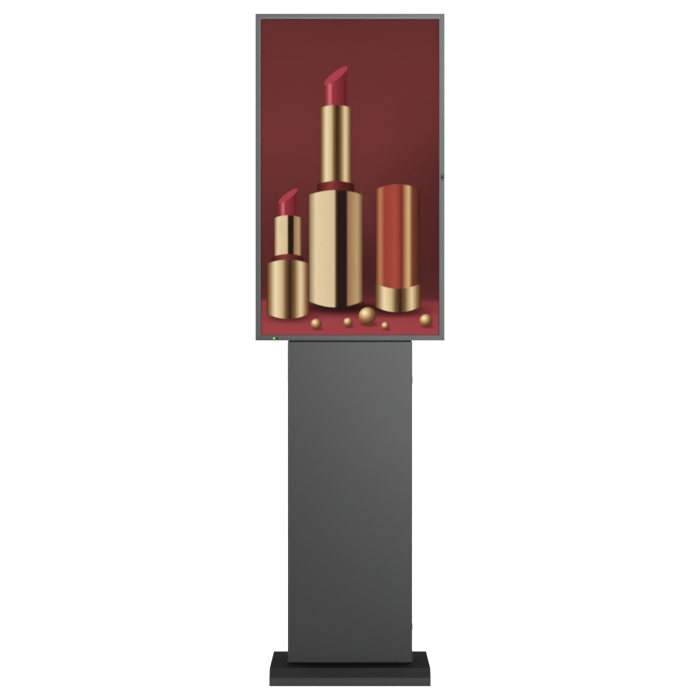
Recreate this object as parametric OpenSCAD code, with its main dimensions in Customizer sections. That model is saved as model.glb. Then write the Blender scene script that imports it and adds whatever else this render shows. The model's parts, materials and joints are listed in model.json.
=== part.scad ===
// Floor-standing touchscreen kiosk: display head on a column with a rear service door and a ballasted base.
// Millimetres, +Z up, front towards -Y, origin at the middle of the footprint on the floor.

/* [Head] */
// Width of the display head
head_w = 564; // [420:1:720]
// Height of the display head
head_h = 975; // [700:1:1300]
// Height of the head's lower edge above the floor
head_z = 1017.5; // [900:0.5:1200]
// Depth of the head from frame face to rear cover
head_d = 58; // [50:1:80]
// Flat face width of the frame profile
face_w = 11.5; // [9:0.5:20]
// Width of the frame profile's inner bevel
bevel_w = 4; // [2:0.5:8]
// How far the head's face stands in front of the column's lower part
head_proud = 10; // [2:1:40]

/* [Column] */
// Column width
col_w = 372; // [300:1:480]
// Column depth below the head
col_d = 200; // [170:1:260]
// Front face of the column below the head, as a Y position
col_front = -104; // [-120:1:-60]
// Open seam between the column's shoulder and the head
shoulder_gap = 4.5; // [2:0.5:12]
// Column top height above the floor
col_top = 1760; // [1650:1:1900]
// Reveal between the base and the column shell
reveal = 6; // [3:1:12]
// Sheet thickness of the column, door and base cover
sheet = 2; // [1.5:0.1:3]
// Outer corner radius of the folded column
fold_r = 2.5; // [2.1:0.1:6]

/* [Door] */
// Height of the door's lower edge
door_z0 = 75; // [70:1:120]
// Height of the door's upper edge
door_z1 = 975; // [800:1:985]
// Height of the lower lock
lock_z0 = 145; // [120:1:200]
// Height of the upper lock
lock_z1 = 896; // [700:1:940]
// Diameter of the lock heads
lock_head_d = 23; // [18:0.5:26]

/* [Base] */
// Base width
base_w = 475; // [400:1:600]
// Base depth with the inlet flange
base_d = 450; // [380:1:560]
// Base height
base_h = 50; // [45:1:70]
// Depth covered by the sloped front
slope_run = 35; // [15:1:60]
// Height of the vertical lip below the slope
lip_h = 25.5; // [15:0.5:35]
// Distance between the floor anchor holes, side to side
anchor_x = 340; // [250:5:380]
// Distance between the floor anchor holes, front to back
anchor_y = 300; // [200:5:340]

/* [Equipment] */
// Hole spacing of the spare equipment pattern
bay_pitch = 100; // [75:25:100]
// Fan size
fan_w = 120; // [80:40:120]
// Travel of the rear keys
key_travel = 1; // [0.5:0.1:2]

/* [Hidden] */
$fn = 48;
tiny = 0.01;
gap = 0.3;                                   // clearance between parts that move past each other
run_gap = 0.05;                              // radial running clearance
hw = head_w / 2;
head_top = head_z + head_h;
head_mid = head_z + head_h / 2;
head_front = col_front - head_proud;
head_back = head_front + head_d;
hang_gap = 12;                               // between the head's back and the neck
edge_r = 1.5;                                // chamfer round the head's face
neck_front = head_back + hang_gap;           // the column's front face behind the head
shoulder_z = head_z - shoulder_gap;
seal_in = 8;                                 // setback of the upstand that closes the seam
flange_t = 3.5;                              // frame profile thickness behind its face
wall_t = 2;                                  // frame profile side wall
frame_depth = 40;
lip_in = face_w + bevel_w;                   // from the head's edge to the visible glass
glass_y = head_front + flange_t;
glass_t = 4;
glass_in = 9;                                // from the head's edge to the glass edge
panel_in = 12;                               // from the head's edge to the display stack
sensor_y = glass_y + glass_t;
lcd_y = sensor_y + 1;
diffuser_y = lcd_y + 2;
tray_y = head_front + 23;                    // back of the panel tray
cover_in = 2.5;                              // rear cover, inset from the frame's edge
cover_t = 1.5;
lamp_z = head_z + 6.5;
lamp_x = -227;
lamp_r = 2;                                  // power lamp and remote-control window
ir_x = -216.6;
oval_x = hw - 6.3;
oval_z = head_mid - 1;
key_x = 250;
key_z = head_z + 90;
key_pitch = 20;
key_r = 4;
speaker_x = 205;
speaker_z = head_z + 62;
cable_x = 40;
cable_z = head_mid - 100;

cw = col_w / 2;
col_back = col_front + col_d;
col_z0 = base_h + reveal;
flange_in = 8;                               // setback of the flange in the reveal under the column
inner_front = neck_front + sheet;
upright_w = 40;
upright_x = 130;                             // inner face of each upright
upright_y1 = inner_front + upright_w;
upright_top = col_top - 16;
rail_half = 20;
head_rail_z = [head_mid - 148, head_mid + 148];
bay_rail_z = [115, 1000];
header_h = 23;
panel_z1 = col_top - 20;                     // top of the rear opening
lip_w = 16.5;                                // folded lips beside the rear openings
seam = 2;
hang_bolt_x = 60;                            // bolts that hold the wall bracket
panel_screw_x = 179;
panel_screw_z = [1040, 1380, 1700];
bracket_t = 3;
bracket_h = 170;                             // half height of the wall bracket
rail_x = 100;
rail_w = 30;

hinge_x = -170;
hinge_y = col_back + 4;
hinge_r = 4;
pin_r = 2;
hinge_zs = [150, 525, 900];
hinge_len = 60;
door_x0 = hinge_x + 1;
door_flange_y = 40;
jamb_y = door_flange_y - seam;
door_tray = 14;
lock_y = 58;
lock_zs = [lock_z0, lock_z1];
lock_body_r = 9;
lock_plug_r = 6;
lock_reach = 21.5;                           // barrel length behind the flange's outer face
cam_len = 30;
cam_t = 2.5;
cam_w = 14;
nut_t = 4.5;
lock_head_t = 4.7;
keeper_z = [14, 36];                         // height of the keepers, from the lock axis
keeper_foot = 26.5;                          // start of a keeper's foot, clear of the turning cam

half_base = base_w / 2;
base_front = -base_d / 2;
flange_inlet = 1.5;
base_back = base_d / 2 - 2.5;                // rear face of the cover, under the inlet's flange
cover_z0 = 0.5;
plate_z = [8, 18];
foot_x = 195;
foot_y = 185;
foot_pad_r = 20;
foot_stud_r = 5;
foot_pad_h = plate_z[0] - gap;
anchor_r = 7;
bolt_x = 100;
bolt_y = [-64, 60];
bolt_r = 6;
side_screw_y = [-120, 120];
side_screw_z = 30;
entry_r = 25;
entry_y = 130;
riser_r = 18;                                // cable hole from the base into the column
riser_y = 30;

inlet_z = 32;
inlet_x = -120;
inlet_w = 56;
inlet_h = 30;
socket_x = inlet_x - 12;
rocker_x = inlet_x + 17;
rocker_tilt = 7;
rocker_half = 9;
rocker_face = 5.2;                           // from the rocker's pivot to the ends of its face
rocker_y = base_d / 2 - rocker_face * cos(rocker_tilt) - rocker_half * sin(rocker_tilt);

fan_z = 1640;
fan_y = col_back - 29.5;
fan_t = 25;
blades = 7;
guard_lug_r = 52.5 * sqrt(2);
rear_panel_y = col_back - 2 * sheet;

steel_dark = [0.2, 0.2, 0.21];
steel_col = [0.3, 0.31, 0.32];
alu_col = [0.42, 0.43, 0.43];
zinc_col = [0.72, 0.73, 0.75];
black_col = [0.05, 0.05, 0.06];
board_col = [0.08, 0.3, 0.18];

// ---------- helpers ----------

// Box between two corners, each axis given as [low, high].
module span(x, y, z) {
    translate([x[0], y[0], z[0]])
        cube([x[1] - x[0], y[1] - y[0], z[1] - z[0]]);
}

// Cylinder along +Z from z0 to z1.
module post(x, y, z0, z1, r) {
    translate([x, y, z0])
        cylinder(h = z1 - z0, r = r);
}

// Cylinder along Y from y0 to y1.
module rod_y(x, z, y0, y1, r) {
    translate([x, y1, z])
        rotate([90, 0, 0])
            cylinder(h = y1 - y0, r = r);
}

// Cylinder along X from x0 to x1.
module rod_x(y, z, x0, x1, r) {
    translate([x0, y, z])
        rotate([0, 90, 0])
            cylinder(h = x1 - x0, r = r);
}

// Filled 2D rectangle with round corners.
module round_rect(x, y, r) {
    translate([x[0] + r, y[0]])
        square([x[1] - x[0] - 2 * r, y[1] - y[0]]);
    translate([x[0], y[0] + r])
        square([x[1] - x[0], y[1] - y[0] - 2 * r]);
    for (px = [x[0] + r, x[1] - r], py = [y[0] + r, y[1] - r])
        translate([px, py])
            circle(r = r);
}

// Prism with a stadium section in the XZ plane, long along Z.
module stadium_y(x, z, y0, y1, w, h) {
    translate([x, y1, z])
        rotate([90, 0, 0])
            linear_extrude(y1 - y0) {
                square([w, h - w], center = true);
                for (s = [-1, 1])
                    translate([0, s * (h - w) / 2])
                        circle(d = w);
            }
}

// Slot through a sheet that faces Y, long along X.
module slot_y(x, z, y0, y1, len, h) {
    span([x - len / 2 + h / 2, x + len / 2 - h / 2], [y0, y1], [z - h / 2, z + h / 2]);
    for (s = [-1, 1])
        rod_y(x + s * (len / 2 - h / 2), z, y0, y1, h / 2);
}

// Straight run of cable between two points.
module cable_run(a, b, r) {
    d = b - a;
    len = norm(d);
    translate(a)
        rotate([0, acos(d[2] / len), atan2(d[1], d[0])])
            cylinder(h = len, r = r);
}

// Cable through a list of points, with a slightly fuller joint at each turn.
module cable(points, r) {
    for (i = [0 : len(points) - 2])
        cable_run(points[i], points[i + 1], r);
    for (i = [1 : len(points) - 2])
        translate(points[i])
            rotate([50, 35, 0])
                sphere(r = r * 1.12);
}

// ---------- base ----------

// Side profile of the base, in the YZ plane, inset by t.
module base_profile(t) {
    slope = atan2(base_h - lip_h, slope_run);
    shift = t * tan((90 - slope) / 2);
    polygon([[base_front + t, cover_z0 - tiny * t], [base_front + t, lip_h - shift],
        [base_front + slope_run + t * tan(slope / 2), base_h - t],
        [base_back - t, base_h - t], [base_back - t, cover_z0 - tiny * t]]);
}

module base_body(t) {
    intersection() {
        translate([-half_base, 0, 0])
            rotate([90, 0, 90])
                linear_extrude(base_w)
                    base_profile(t);
        linear_extrude(base_h)
            round_rect([t - half_base, half_base - t], [base_front + t, base_back - t], 3);
    }
}

module base_cover() {
    color(steel_dark)
        difference() {
            base_body(0);
            base_body(sheet);
            for (x = [-bolt_x, bolt_x], y = bolt_y)
                post(x, y, 40, base_h + 1, bolt_r + 0.5);
            post(0, riser_y, 40, base_h + 1, riser_r);
            span([inlet_x - 24.5, inlet_x + 24.5], [base_back - 5, base_back + 1],
                [inlet_z - 13.2, inlet_z + 13.2]);
            for (s = [-1, 1], y = side_screw_y)
                scale_side(s)
                    rod_x(y, side_screw_z, half_base - 3, half_base + 1, 5);
        }
}

// Ballast plate with welded blocks for the cover's side screws and welded bosses for the column bolts.
module base_plate() {
    color(steel_col)
        difference() {
            union() {
                span([-228, 228], [base_front + 8, base_back - 8], plate_z);
                for (s = [-1, 1], y = side_screw_y)
                    scale_side(s)
                        span([210, half_base - sheet], [y - 15, y + 15], [plate_z[0] + 2, 42]);
                for (x = [-bolt_x, bolt_x], y = bolt_y)
                    post(x, y, plate_z[0] + 2, base_h - sheet, 13);
            }
            for (x = [-foot_x, foot_x], y = [-foot_y, foot_y])
                post(x, y, 0, 30, foot_stud_r + run_gap);
            for (x = [-anchor_x / 2, anchor_x / 2], y = [-anchor_y / 2, anchor_y / 2])
                post(x, y, 0, 30, anchor_r);
            for (x = [-bolt_x, bolt_x], y = bolt_y)
                post(x, y, 0, base_h, bolt_r);
            post(0, entry_y, 0, 30, entry_r);
            for (s = [-1, 1], y = side_screw_y)
                scale_side(s)
                    rod_x(y, side_screw_z, 217, half_base, 2.5);
        }
}

module cover_screws() {
    color(zinc_col)
        for (s = [-1, 1], y = side_screw_y)
            scale_side(s)
                difference() {
                    union() {
                        rod_x(y, side_screw_z, 219, half_base - sheet, 2.5);
                        rod_x(y, side_screw_z, half_base - sheet, half_base - 0.2, 4.8);
                    }
                    translate([half_base - 1.5, y, side_screw_z])
                        rotate([0, 90, 0])
                            cylinder(h = 3, r = 1.7, $fn = 6);
                }
}

// Leaves the +X side as it is or mirrors it to -X.
module scale_side(s) {
    mirror([s < 0 ? 1 : 0, 0, 0])
        children();
}

module foot(x, y) {
    color(black_col)
        translate([x, y, 0]) {
            cylinder(h = 3, r = foot_pad_r);
            translate([0, 0, 3])
                cylinder(h = foot_pad_h - 3, r1 = foot_pad_r - 1, r2 = 11);
            translate([0, 0, foot_pad_h - 1])
                cylinder(h = 39 - foot_pad_h, r = foot_stud_r);
        }
}

module column_flange() {
    color(steel_dark)
        difference() {
            translate([0, 0, base_h])
                linear_extrude(reveal)
                    round_rect([flange_in - cw, cw - flange_in],
                        [col_front + flange_in, col_back - flange_in], 2);
            for (x = [-bolt_x, bolt_x], y = bolt_y)
                post(x, y, base_h - 1, col_z0 + 1, bolt_r + 0.5);
            post(0, riser_y, base_h - 1, col_z0 + 1, riser_r);
        }
}

module column_bolts() {
    color(zinc_col)
        for (x = [-bolt_x, bolt_x], y = bolt_y) {
            post(x, y, plate_z[0] + 2, col_z0 + 2.5, bolt_r);
            post(x, y, col_z0, col_z0 + 2.5, 12);
            translate([x, y, col_z0 + 2.5])
                cylinder(h = 7.5, r = 10.4, $fn = 6);
        }
}

// ---------- mains inlet ----------

module power_inlet() {
    color(black_col) {
        difference() {
            union() {
                span([inlet_x - 24, inlet_x + 24], [base_back - 28, base_back], [inlet_z - 13, inlet_z + 13]);
                span([inlet_x - inlet_w / 2, inlet_x + inlet_w / 2], [base_back, base_back + flange_inlet],
                    [inlet_z - inlet_h / 2, inlet_z + inlet_h / 2]);
            }
            translate([socket_x, base_back + 2, inlet_z])
                rotate([90, 0, 0])
                    linear_extrude(20)
                        polygon([[-12, -4], [-8, -8], [8, -8], [12, -4], [12, 8], [-12, 8]]);
            span([rocker_x - 5.6, rocker_x + 5.6], [base_back - 12, base_back + 2],
                [inlet_z - 10, inlet_z + 10]);
            inlet_blades();
        }
        rod_x(rocker_y, inlet_z, rocker_x - 5.8, rocker_x + 5.8, 1);
    }
}

module inlet_blades() {
    for (p = [[-7, 1.5], [0, -2.5], [7, 1.5]])
        span([socket_x + p[0] - 1, socket_x + p[0] + 1], [base_back - 24, base_back - 4.5],
            [inlet_z + p[1] - 2, inlet_z + p[1] + 2]);
}

module inlet_pins() {
    color(zinc_col)
        inlet_blades();
}

module rocker() {
    color(black_col)
        translate([rocker_x - 5.2, rocker_y, inlet_z])
            rotate([rocker_tilt, 0, 0])
                rotate([90, 0, 90])
                    linear_extrude(10.4)
                        difference() {
                            polygon([[rocker_face, rocker_half], [rocker_face - 1.3, 0],
                                [rocker_face, -rocker_half], [-3, -rocker_half], [-3, rocker_half]]);
                            circle(r = 1 + run_gap);
                        }
}

// ---------- column ----------

// Plan of the column from a front face back to the door, inset by t.
module column_outline(front, t) {
    round_rect([t - cw, cw - t], [front + t, col_back - t], max(fold_r - t, 0.5));
}

// Folded sheet all round, between two heights.
module column_skin(front, z) {
    translate([0, 0, z[0]])
        linear_extrude(z[1] - z[0])
            difference() {
                column_outline(front, 0);
                column_outline(front, sheet);
            }
}

// Top of the column's lower part, with an upstand that closes the seam under the head.
module shoulder() {
    intersection() {
        translate([0, 0, shoulder_z - sheet])
            linear_extrude(sheet)
                column_outline(col_front, 0);
        span([-cw, cw], [col_front, inner_front], [shoulder_z - sheet, shoulder_z]);
    }
    span([sheet - cw, cw - sheet], [col_front + seal_in, col_front + seal_in + sheet],
        [shoulder_z - sheet, head_z - 2 * gap]);
}

module column_shell() {
    color(steel_col)
        difference() {
            union() {
                column_skin(col_front, [col_z0, shoulder_z]);
                column_skin(neck_front, [shoulder_z - sheet, col_top]);
                shoulder();
                span([cw - 18, cw - sheet / 2], [jamb_y - sheet, jamb_y], [door_z0 - seam, door_z1 + seam]);
            }
            span([hinge_x - 1, cw + 1], [jamb_y, col_back + 1], [door_z0 - seam, door_z1 + seam]);
            span([lip_w - cw, cw - lip_w], [rear_panel_y, col_back + 1],
                [door_z1 + header_h, panel_z1]);
            rod_y(cable_x, cable_z, neck_front - 1, inner_front + 1, 22);
            for (x = [-hang_bolt_x, hang_bolt_x], z = head_rail_z)
                rod_y(x, z, neck_front - 1, inner_front + 1, 4.5);
            for (x = [-panel_screw_x, panel_screw_x], z = panel_screw_z)
                rod_y(x, z, rear_panel_y, col_back + 1, 2.2);
        }
}

// Welded inner frame: two square-tube uprights and the cross rails between them.
module column_frame() {
    color(zinc_col) {
        for (s = [-1, 1])
            scale_side(s)
                difference() {
                    span([upright_x, upright_x + upright_w], [inner_front, upright_y1],
                        [col_z0, upright_top]);
                    span([upright_x + 2, upright_x + upright_w - 2], [inner_front + 2, upright_y1 - 2],
                        [col_z0 - 1, upright_top + 1]);
                }
        for (z = concat(bay_rail_z, head_rail_z))
            difference() {
                span([-upright_x, upright_x], [inner_front, inner_front + 20],
                    [z - rail_half, z + rail_half]);
                span([-upright_x - 1, upright_x + 1], [inner_front + 2, inner_front + 18],
                    [z - rail_half + 2, z + rail_half - 2]);
                for (x = [-hang_bolt_x, hang_bolt_x])
                    rod_y(x, z, inner_front - 1, inner_front + 3, 4.5);
            }
    }
}

module top_cap() {
    color(steel_col) {
        translate([0, 0, col_top])
            linear_extrude(sheet)
                column_outline(neck_front, 0);
        translate([0, 0, col_top - 14])
            linear_extrude(14)
                difference() {
                    column_outline(neck_front, sheet + 0.2);
                    column_outline(neck_front, 2 * sheet);
                }
    }
}

module rear_panel() {
    color(steel_col)
        difference() {
            span([-183, 183], [rear_panel_y, rear_panel_y + sheet], [door_z1 + 10, panel_z1 + 3]);
            rod_y(0, fan_z, rear_panel_y - 1, col_back, 57);
            for (x = [-52.5, 52.5], z = [fan_z - 52.5, fan_z + 52.5])
                rod_y(x, z, rear_panel_y - 1, col_back, 2.2);
            for (x = [-panel_screw_x, panel_screw_x], z = panel_screw_z)
                rod_y(x, z, rear_panel_y - 1, col_back, 2);
            for (x = [-100, 0, 100], i = [0 : 9])
                slot_y(x, 1110 + i * 14, rear_panel_y - 1, col_back, 80, 5);
        }
}

module panel_screws() {
    color(zinc_col)
        for (x = [-panel_screw_x, panel_screw_x], z = panel_screw_z)
            difference() {
                union() {
                    rod_y(x, z, rear_panel_y - 3, col_back, 2);
                    rod_y(x, z, col_back, col_back + 2, 4);
                }
                translate([x, col_back + 1, z])
                    rotate([-90, 0, 0])
                        cylinder(h = 2, r = 1.4, $fn = 6);
            }
}

// ---------- fan ----------

module fan_frame() {
    half = fan_w / 2;
    color(black_col) {
        difference() {
            span([-half, half], [fan_y, fan_y + fan_t], [fan_z - half, fan_z + half]);
            rod_y(0, fan_z, fan_y - 1, fan_y + fan_t + 1, half - 2);
            for (x = [-1, 1], z = [-1, 1])
                rod_y(x * (half - 7.5), fan_z + z * (half - 7.5), fan_y - 1, fan_y + fan_t + 1, 2.2);
        }
        rod_y(0, fan_z, fan_y, fan_y + 2.5, 21);
        rod_y(0, fan_z, fan_y + 2, fan_y + 16, 1.5);
        for (a = [0 : 90 : 270])
            translate([0, fan_y, fan_z])
                rotate([0, a + 20, 0])
                    span([18, half - 1], [0, 2.5], [-2.5, 2.5]);
    }
}

module fan_rotor() {
    color(black_col)
        difference() {
            union() {
                rod_y(0, fan_z, fan_y + 3, fan_y + 22, 20);
                intersection() {
                    for (i = [0 : blades - 1])
                        translate([0, fan_y + 13, fan_z])
                            rotate([0, i * 360 / blades, 0])
                                rotate([38, 0, 0])
                                    span([17, 60], [-1, 1], [-13, 13]);
                    difference() {
                        rod_y(0, fan_z, fan_y + 4.5, fan_y + 21.5, 56);
                        rod_y(0, fan_z, fan_y + 4, fan_y + 22, 18);
                    }
                }
            }
            rod_y(0, fan_z, fan_y, fan_y + 17, 1.5 + run_gap);
        }
}

module fan_guard() {
    color(zinc_col) {
        for (r = [14 : 11 : 58])
            translate([0, col_back - 0.6, fan_z])
                rotate([90, 0, 0])
                    rotate_extrude($fn = 64)
                        translate([r, 0])
                            circle(r = 1, $fn = 16);
        for (a = [45 : 90 : 315])
            translate([0, col_back - 0.6, fan_z])
                rotate([0, a, 0]) {
                    translate([14, 0, 0])
                        rotate([0, 90, 0])
                            cylinder(h = 56, r = 0.9, $fn = 16);
                    translate([guard_lug_r, -0.2, 0])
                        rotate([90, 0, 0])
                            difference() {
                                cylinder(h = 1.2, r = 5);
                                translate([0, 0, -1])
                                    cylinder(h = 4, r = 2.2);
                            }
                }
    }
}

// ---------- door ----------

module door_panel() {
    color(steel_col)
        difference() {
            union() {
                intersection() {
                    column_skin(col_front, [door_z0, door_z1]);
                    span([door_x0, cw + 1], [door_flange_y, col_back + 1], [door_z0, door_z1]);
                }
                for (z = [door_z0, door_z1 - sheet])
                    span([door_x0, cw - sheet / 2], [col_back - door_tray, col_back - sheet / 2],
                        [z, z + sheet]);
                span([door_x0, door_x0 + sheet], [col_back - door_tray, col_back - sheet / 2],
                    [door_z0, door_z1]);
            }
            for (z = lock_zs)
                rod_x(lock_y, z, cw - 4, cw + 1, lock_body_r);
            for (x = [-90, 0, 90], i = [0 : 7])
                slot_y(x, 190 + i * 14, col_back - 4, col_back + 1, 70, 5);
        }
}

// Piece of a hinge leaf on side s of the pin.
module hinge_span(s, x, z) {
    translate([hinge_x, 0, 0])
        scale_side(s)
            span(x, [col_back, col_back + 2], z);
}

// One knuckle row of a hinge: a leaf on one side of the pin and its knuckle over a height.
module hinge_part(s, z, knuckle_z) {
    clear = hinge_r + gap;
    difference() {
        union() {
            hinge_span(s, [clear, s > 0 ? 20 : 13.5], [z - hinge_len / 2, z + hinge_len / 2]);
            for (k = knuckle_z) {
                post(hinge_x, hinge_y, z + k[0], z + k[1], hinge_r);
                hinge_span(s, [0, clear + 1], [z + k[0], z + k[1]]);
            }
        }
        post(hinge_x, hinge_y, z - hinge_len, z + hinge_len, s > 0 ? pin_r + run_gap : pin_r);
    }
}

module hinge_leaves_fixed() {
    color(zinc_col)
        for (z = hinge_zs)
            hinge_part(-1, z, [[-30, -10], [10, 30]]);
}

module hinge_leaves_door() {
    color(zinc_col)
        for (z = hinge_zs)
            hinge_part(1, z, [[-10 + gap, 10 - gap]]);
}

module hinge_pins() {
    color(zinc_col)
        for (z = hinge_zs) {
            post(hinge_x, hinge_y, z - 30, z + 30, pin_r);
            post(hinge_x, hinge_y, z + 30, z + 31.5, 3);
        }
}

module lock_bodies() {
    color(zinc_col)
        for (z = lock_zs)
            difference() {
                union() {
                    rod_x(lock_y, z, cw - lock_reach, cw, lock_body_r);
                    rod_x(lock_y, z, cw, cw + lock_head_t - 1, lock_head_d / 2);
                    rod_x(lock_y, z, cw + lock_head_t - 1, cw + lock_head_t, lock_head_d / 2 - 1);
                }
                rod_x(lock_y, z, cw - lock_reach - 1, cw + lock_head_t + 1, lock_plug_r + run_gap);
            }
}

module lock_nuts() {
    color(zinc_col)
        for (z = lock_zs)
            difference() {
                translate([cw - sheet - nut_t, lock_y, z])
                    rotate([0, 90, 0])
                        cylinder(h = nut_t, r = 13, $fn = 6);
                rod_x(lock_y, z, cw - 10, cw, lock_body_r);
            }
}

// Plug, cam and cam screw, drawn unlocked with the cam pointing to the front.
module lock_cam(z) {
    x_in = cw - lock_reach - gap;
    color(zinc_col)
        difference() {
            union() {
                rod_x(lock_y, z, x_in - 0.5, cw + lock_head_t - 0.5, lock_plug_r);
                span([x_in - cam_t, x_in], [lock_y - cam_len, lock_y], [z - cam_w / 2, z + cam_w / 2]);
                rod_x(lock_y, z, x_in - cam_t, x_in, cam_w / 2);
                rod_x(lock_y, z, x_in - cam_t - 3, x_in - cam_t, 4.5);
            }
            span([cw - 5, cw + 5], [lock_y - 3.8, lock_y + 3.8], [z - 0.8, z + 0.8]);
            span([cw - 4, cw + 5], [lock_y - 1.2, lock_y + 1.2], [z - 1.4, z + 1.4]);
        }
}

module lock_keepers() {
    x0 = cw - 35.5;
    color(zinc_col)
        for (z = lock_zs) {
            span([x0, cw - 4], [jamb_y, jamb_y + 2], [z + keeper_foot, z + keeper_z[1]]);
            span([x0, x0 + 2], [jamb_y, lock_y + 11], [z + keeper_z[0], z + keeper_z[1]]);
            span([x0, x0 + 26], [lock_y + 9, lock_y + 11], [z + keeper_z[0], z + keeper_z[1]]);
        }
}

// ---------- equipment bay ----------

module equipment_plate() {
    color(zinc_col)
        difference() {
            span([-160, 160], [upright_y1, upright_y1 + 2], [500, 860]);
            for (x = [-bay_pitch / 2, bay_pitch / 2], z = [590 - bay_pitch / 2, 590 + bay_pitch / 2])
                rod_y(x, z, upright_y1 - 1, upright_y1 + 3, 2.2);
        }
}

module media_player() {
    y0 = upright_y1 + 2;
    color(black_col)
        difference() {
            union() {
                span([-95, 95], [y0, y0 + 34], [690, 840]);
                for (i = [0 : 13])
                    span([-85 + i * 10, -81 + i * 10], [y0 + 33, y0 + 40], [696, 834]);
            }
            rod_y(75, 765, y0 + 26, y0 + 41, 6.3);
            for (x = [-70, -35, 0, 35])
                span([x, x + 16], [y0 + 8, y0 + 20], [689, 693]);
        }
}

module player_button() {
    y0 = upright_y1 + 2;
    color(zinc_col) {
        rod_y(75, 765, y0 + 28, y0 + 36, 6);
    }
}

module power_strip() {
    y0 = upright_y1;
    color(black_col)
        difference() {
            span([-160, 160], [y0, y0 + 32], [400, 446]);
            for (i = [0 : 4])
                rod_y(-120 + i * 50, 423, y0 + 29, y0 + 33, 17.5);
            span([128, 150], [y0 + 30, y0 + 33], [412, 434]);
        }
}

module mains_cable() {
    color(black_col)
        cable([[inlet_x + 10, base_back - 28, inlet_z], [inlet_x + 10, 120, inlet_z], [0, riser_y, 34],
            [0, riser_y, 360], [0, upright_y1 + 16, 380], [0, upright_y1 + 16, 399.9]], 4);
}

// Supply and signal leads from the bay up into the head.
module head_harness() {
    bay_y = upright_y1 + 16;
    up_y = upright_y1 + 32;
    hole_y = neck_front + 44;
    head_y = head_back - 8;
    color(black_col) {
        cable([[-150, bay_y, 446.1], [-150, bay_y, 456], [-150, up_y, 490],
            [-115, up_y, 960], [cable_x - 8, hole_y, cable_z],
            [cable_x - 8, head_y, cable_z], [-150, head_y, head_mid - 171]], 3.5);
        cable([[-27, bay_y, 692.9], [-27, bay_y, 660], [110, up_y + 15, 660], [115, up_y, 960],
            [cable_x + 8, hole_y, cable_z], [cable_x + 8, head_y, cable_z],
            [60, head_y, head_mid - 66]], 3.5);
    }
}

// ---------- head ----------

// Frame profile standing on the XY plane: X is inwards from the head's edge, Y is depth.
module frame_profile(len) {
    linear_extrude(len)
        polygon([[0, head_front + edge_r], [edge_r, head_front], [face_w, head_front],
            [lip_in, head_front + 2.5], [lip_in, glass_y], [wall_t, glass_y],
            [wall_t, head_front + frame_depth], [0, head_front + frame_depth]]);
}

// Wedge that cuts a bar of length len to 45 degree mitres.
module mitre(len) {
    deep = 60;
    play = 0.05;
    translate([-play, head_back + 1, 0])
        rotate([90, 0, 0])
            linear_extrude(head_d + 2)
                polygon([[0, play * 2], [deep, deep + play * 2],
                    [deep, len - deep - play * 2], [0, len - play * 2]]);
}

module frame_bar(len) {
    intersection() {
        frame_profile(len);
        mitre(len);
    }
}

module frame_left() {
    color(alu_col)
        translate([-hw, 0, head_z])
            frame_bar(head_h);
}

module frame_right() {
    color(alu_col)
        difference() {
            mirror([1, 0, 0])
                translate([-hw, 0, head_z])
                    frame_bar(head_h);
            stadium_y(oval_x, oval_z, head_front - 1, head_front + 3, 9, 18);
        }
}

module frame_bottom() {
    color(alu_col)
        difference() {
            translate([hw, 0, head_z])
                rotate([0, -90, 0])
                    frame_bar(head_w);
            rod_y(lamp_x, lamp_z, head_front - 1, head_front + 4, lamp_r);
            rod_y(ir_x, lamp_z, head_front - 1, head_front + 4, lamp_r);
        }
}

module frame_top() {
    color(alu_col)
        translate([hw, 0, head_top])
            mirror([0, 0, 1])
                rotate([0, -90, 0])
                    frame_bar(head_w);
}

module stack(y, t, inset) {
    span([inset - hw, hw - inset], [y, y + t], [head_z + inset, head_top - inset]);
}

module cover_glass() {
    color([0.1, 0.12, 0.12, 0.35])
        stack(glass_y, glass_t, glass_in);
}

module touch_sensor() {
    color([0.3, 0.35, 0.35, 0.5])
        stack(sensor_y, 0.8, panel_in);
}

module lcd_panel() {
    color([0.08, 0.08, 0.09])
        stack(lcd_y, 1.8, panel_in);
}

module diffuser() {
    color([0.9, 0.9, 0.88])
        stack(diffuser_y, 2.5, panel_in);
}

module panel_chassis() {
    color(zinc_col) {
        difference() {
            stack(diffuser_y + 2.5, tray_y - diffuser_y - 2.5, panel_in - 1);
            stack(diffuser_y + 2, tray_y - diffuser_y - 3.2, panel_in + 0.5);
        }
        for (i = [0 : 9])
            span([-200, 200], [tray_y - 3, tray_y - 1], [head_z + 60 + i * 94, head_z + 72 + i * 94]);
    }
}

module rear_cover() {
    y_in = head_front + 33;
    color(steel_dark)
        difference() {
            stack(y_in, head_back - y_in, cover_in);
            stack(y_in - 1, head_back - y_in + 1 - cover_t, cover_in + cover_t);
            rod_y(cable_x, cable_z, head_back - 5, head_back + 1, 22);
            for (x = [-rail_x, rail_x], k = [-1, 1])
                rod_y(x, head_mid + k * 100, head_back - 5, head_back + 1, 3);
            for (i = [0 : 22], z = [head_top - 50, head_top - 100])
                stadium_y(-220 + i * 20, z, head_back - 5, head_back + 1, 5, 36);
            for (s = [-1, 1], i = [0 : 5])
                slot_y(s * speaker_x, speaker_z - 20 + i * 8, head_back - 5, head_back + 1, 60, 3);
            for (i = [0 : 2])
                rod_y(key_x, key_z + 60 + i * key_pitch, head_back - 5, head_back + 1, key_r + gap);
        }
}

module main_board() {
    y0 = tray_y + 8;
    z0 = head_mid - 76;
    color(board_col) {
        span([-20, 150], [y0, y0 + 1.6], [z0, z0 + 130]);
        span([40, 90], [y0 + 1.6, y0 + 12], [z0 + 50, z0 + 100]);
        span([-15, 0], [y0 + 1.6, y0 + 10], [z0 + 10, z0 + 115]);
        for (i = [0 : 5])
            span([20 + i * 20, 34 + i * 20], [y0 + 1.6, y0 + 9], [z0 + 2, z0 + 20]);
        for (x = [-14, 144], z = [z0 + 6, z0 + 124])
            rod_y(x, z, tray_y, y0, 4);
    }
}

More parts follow.
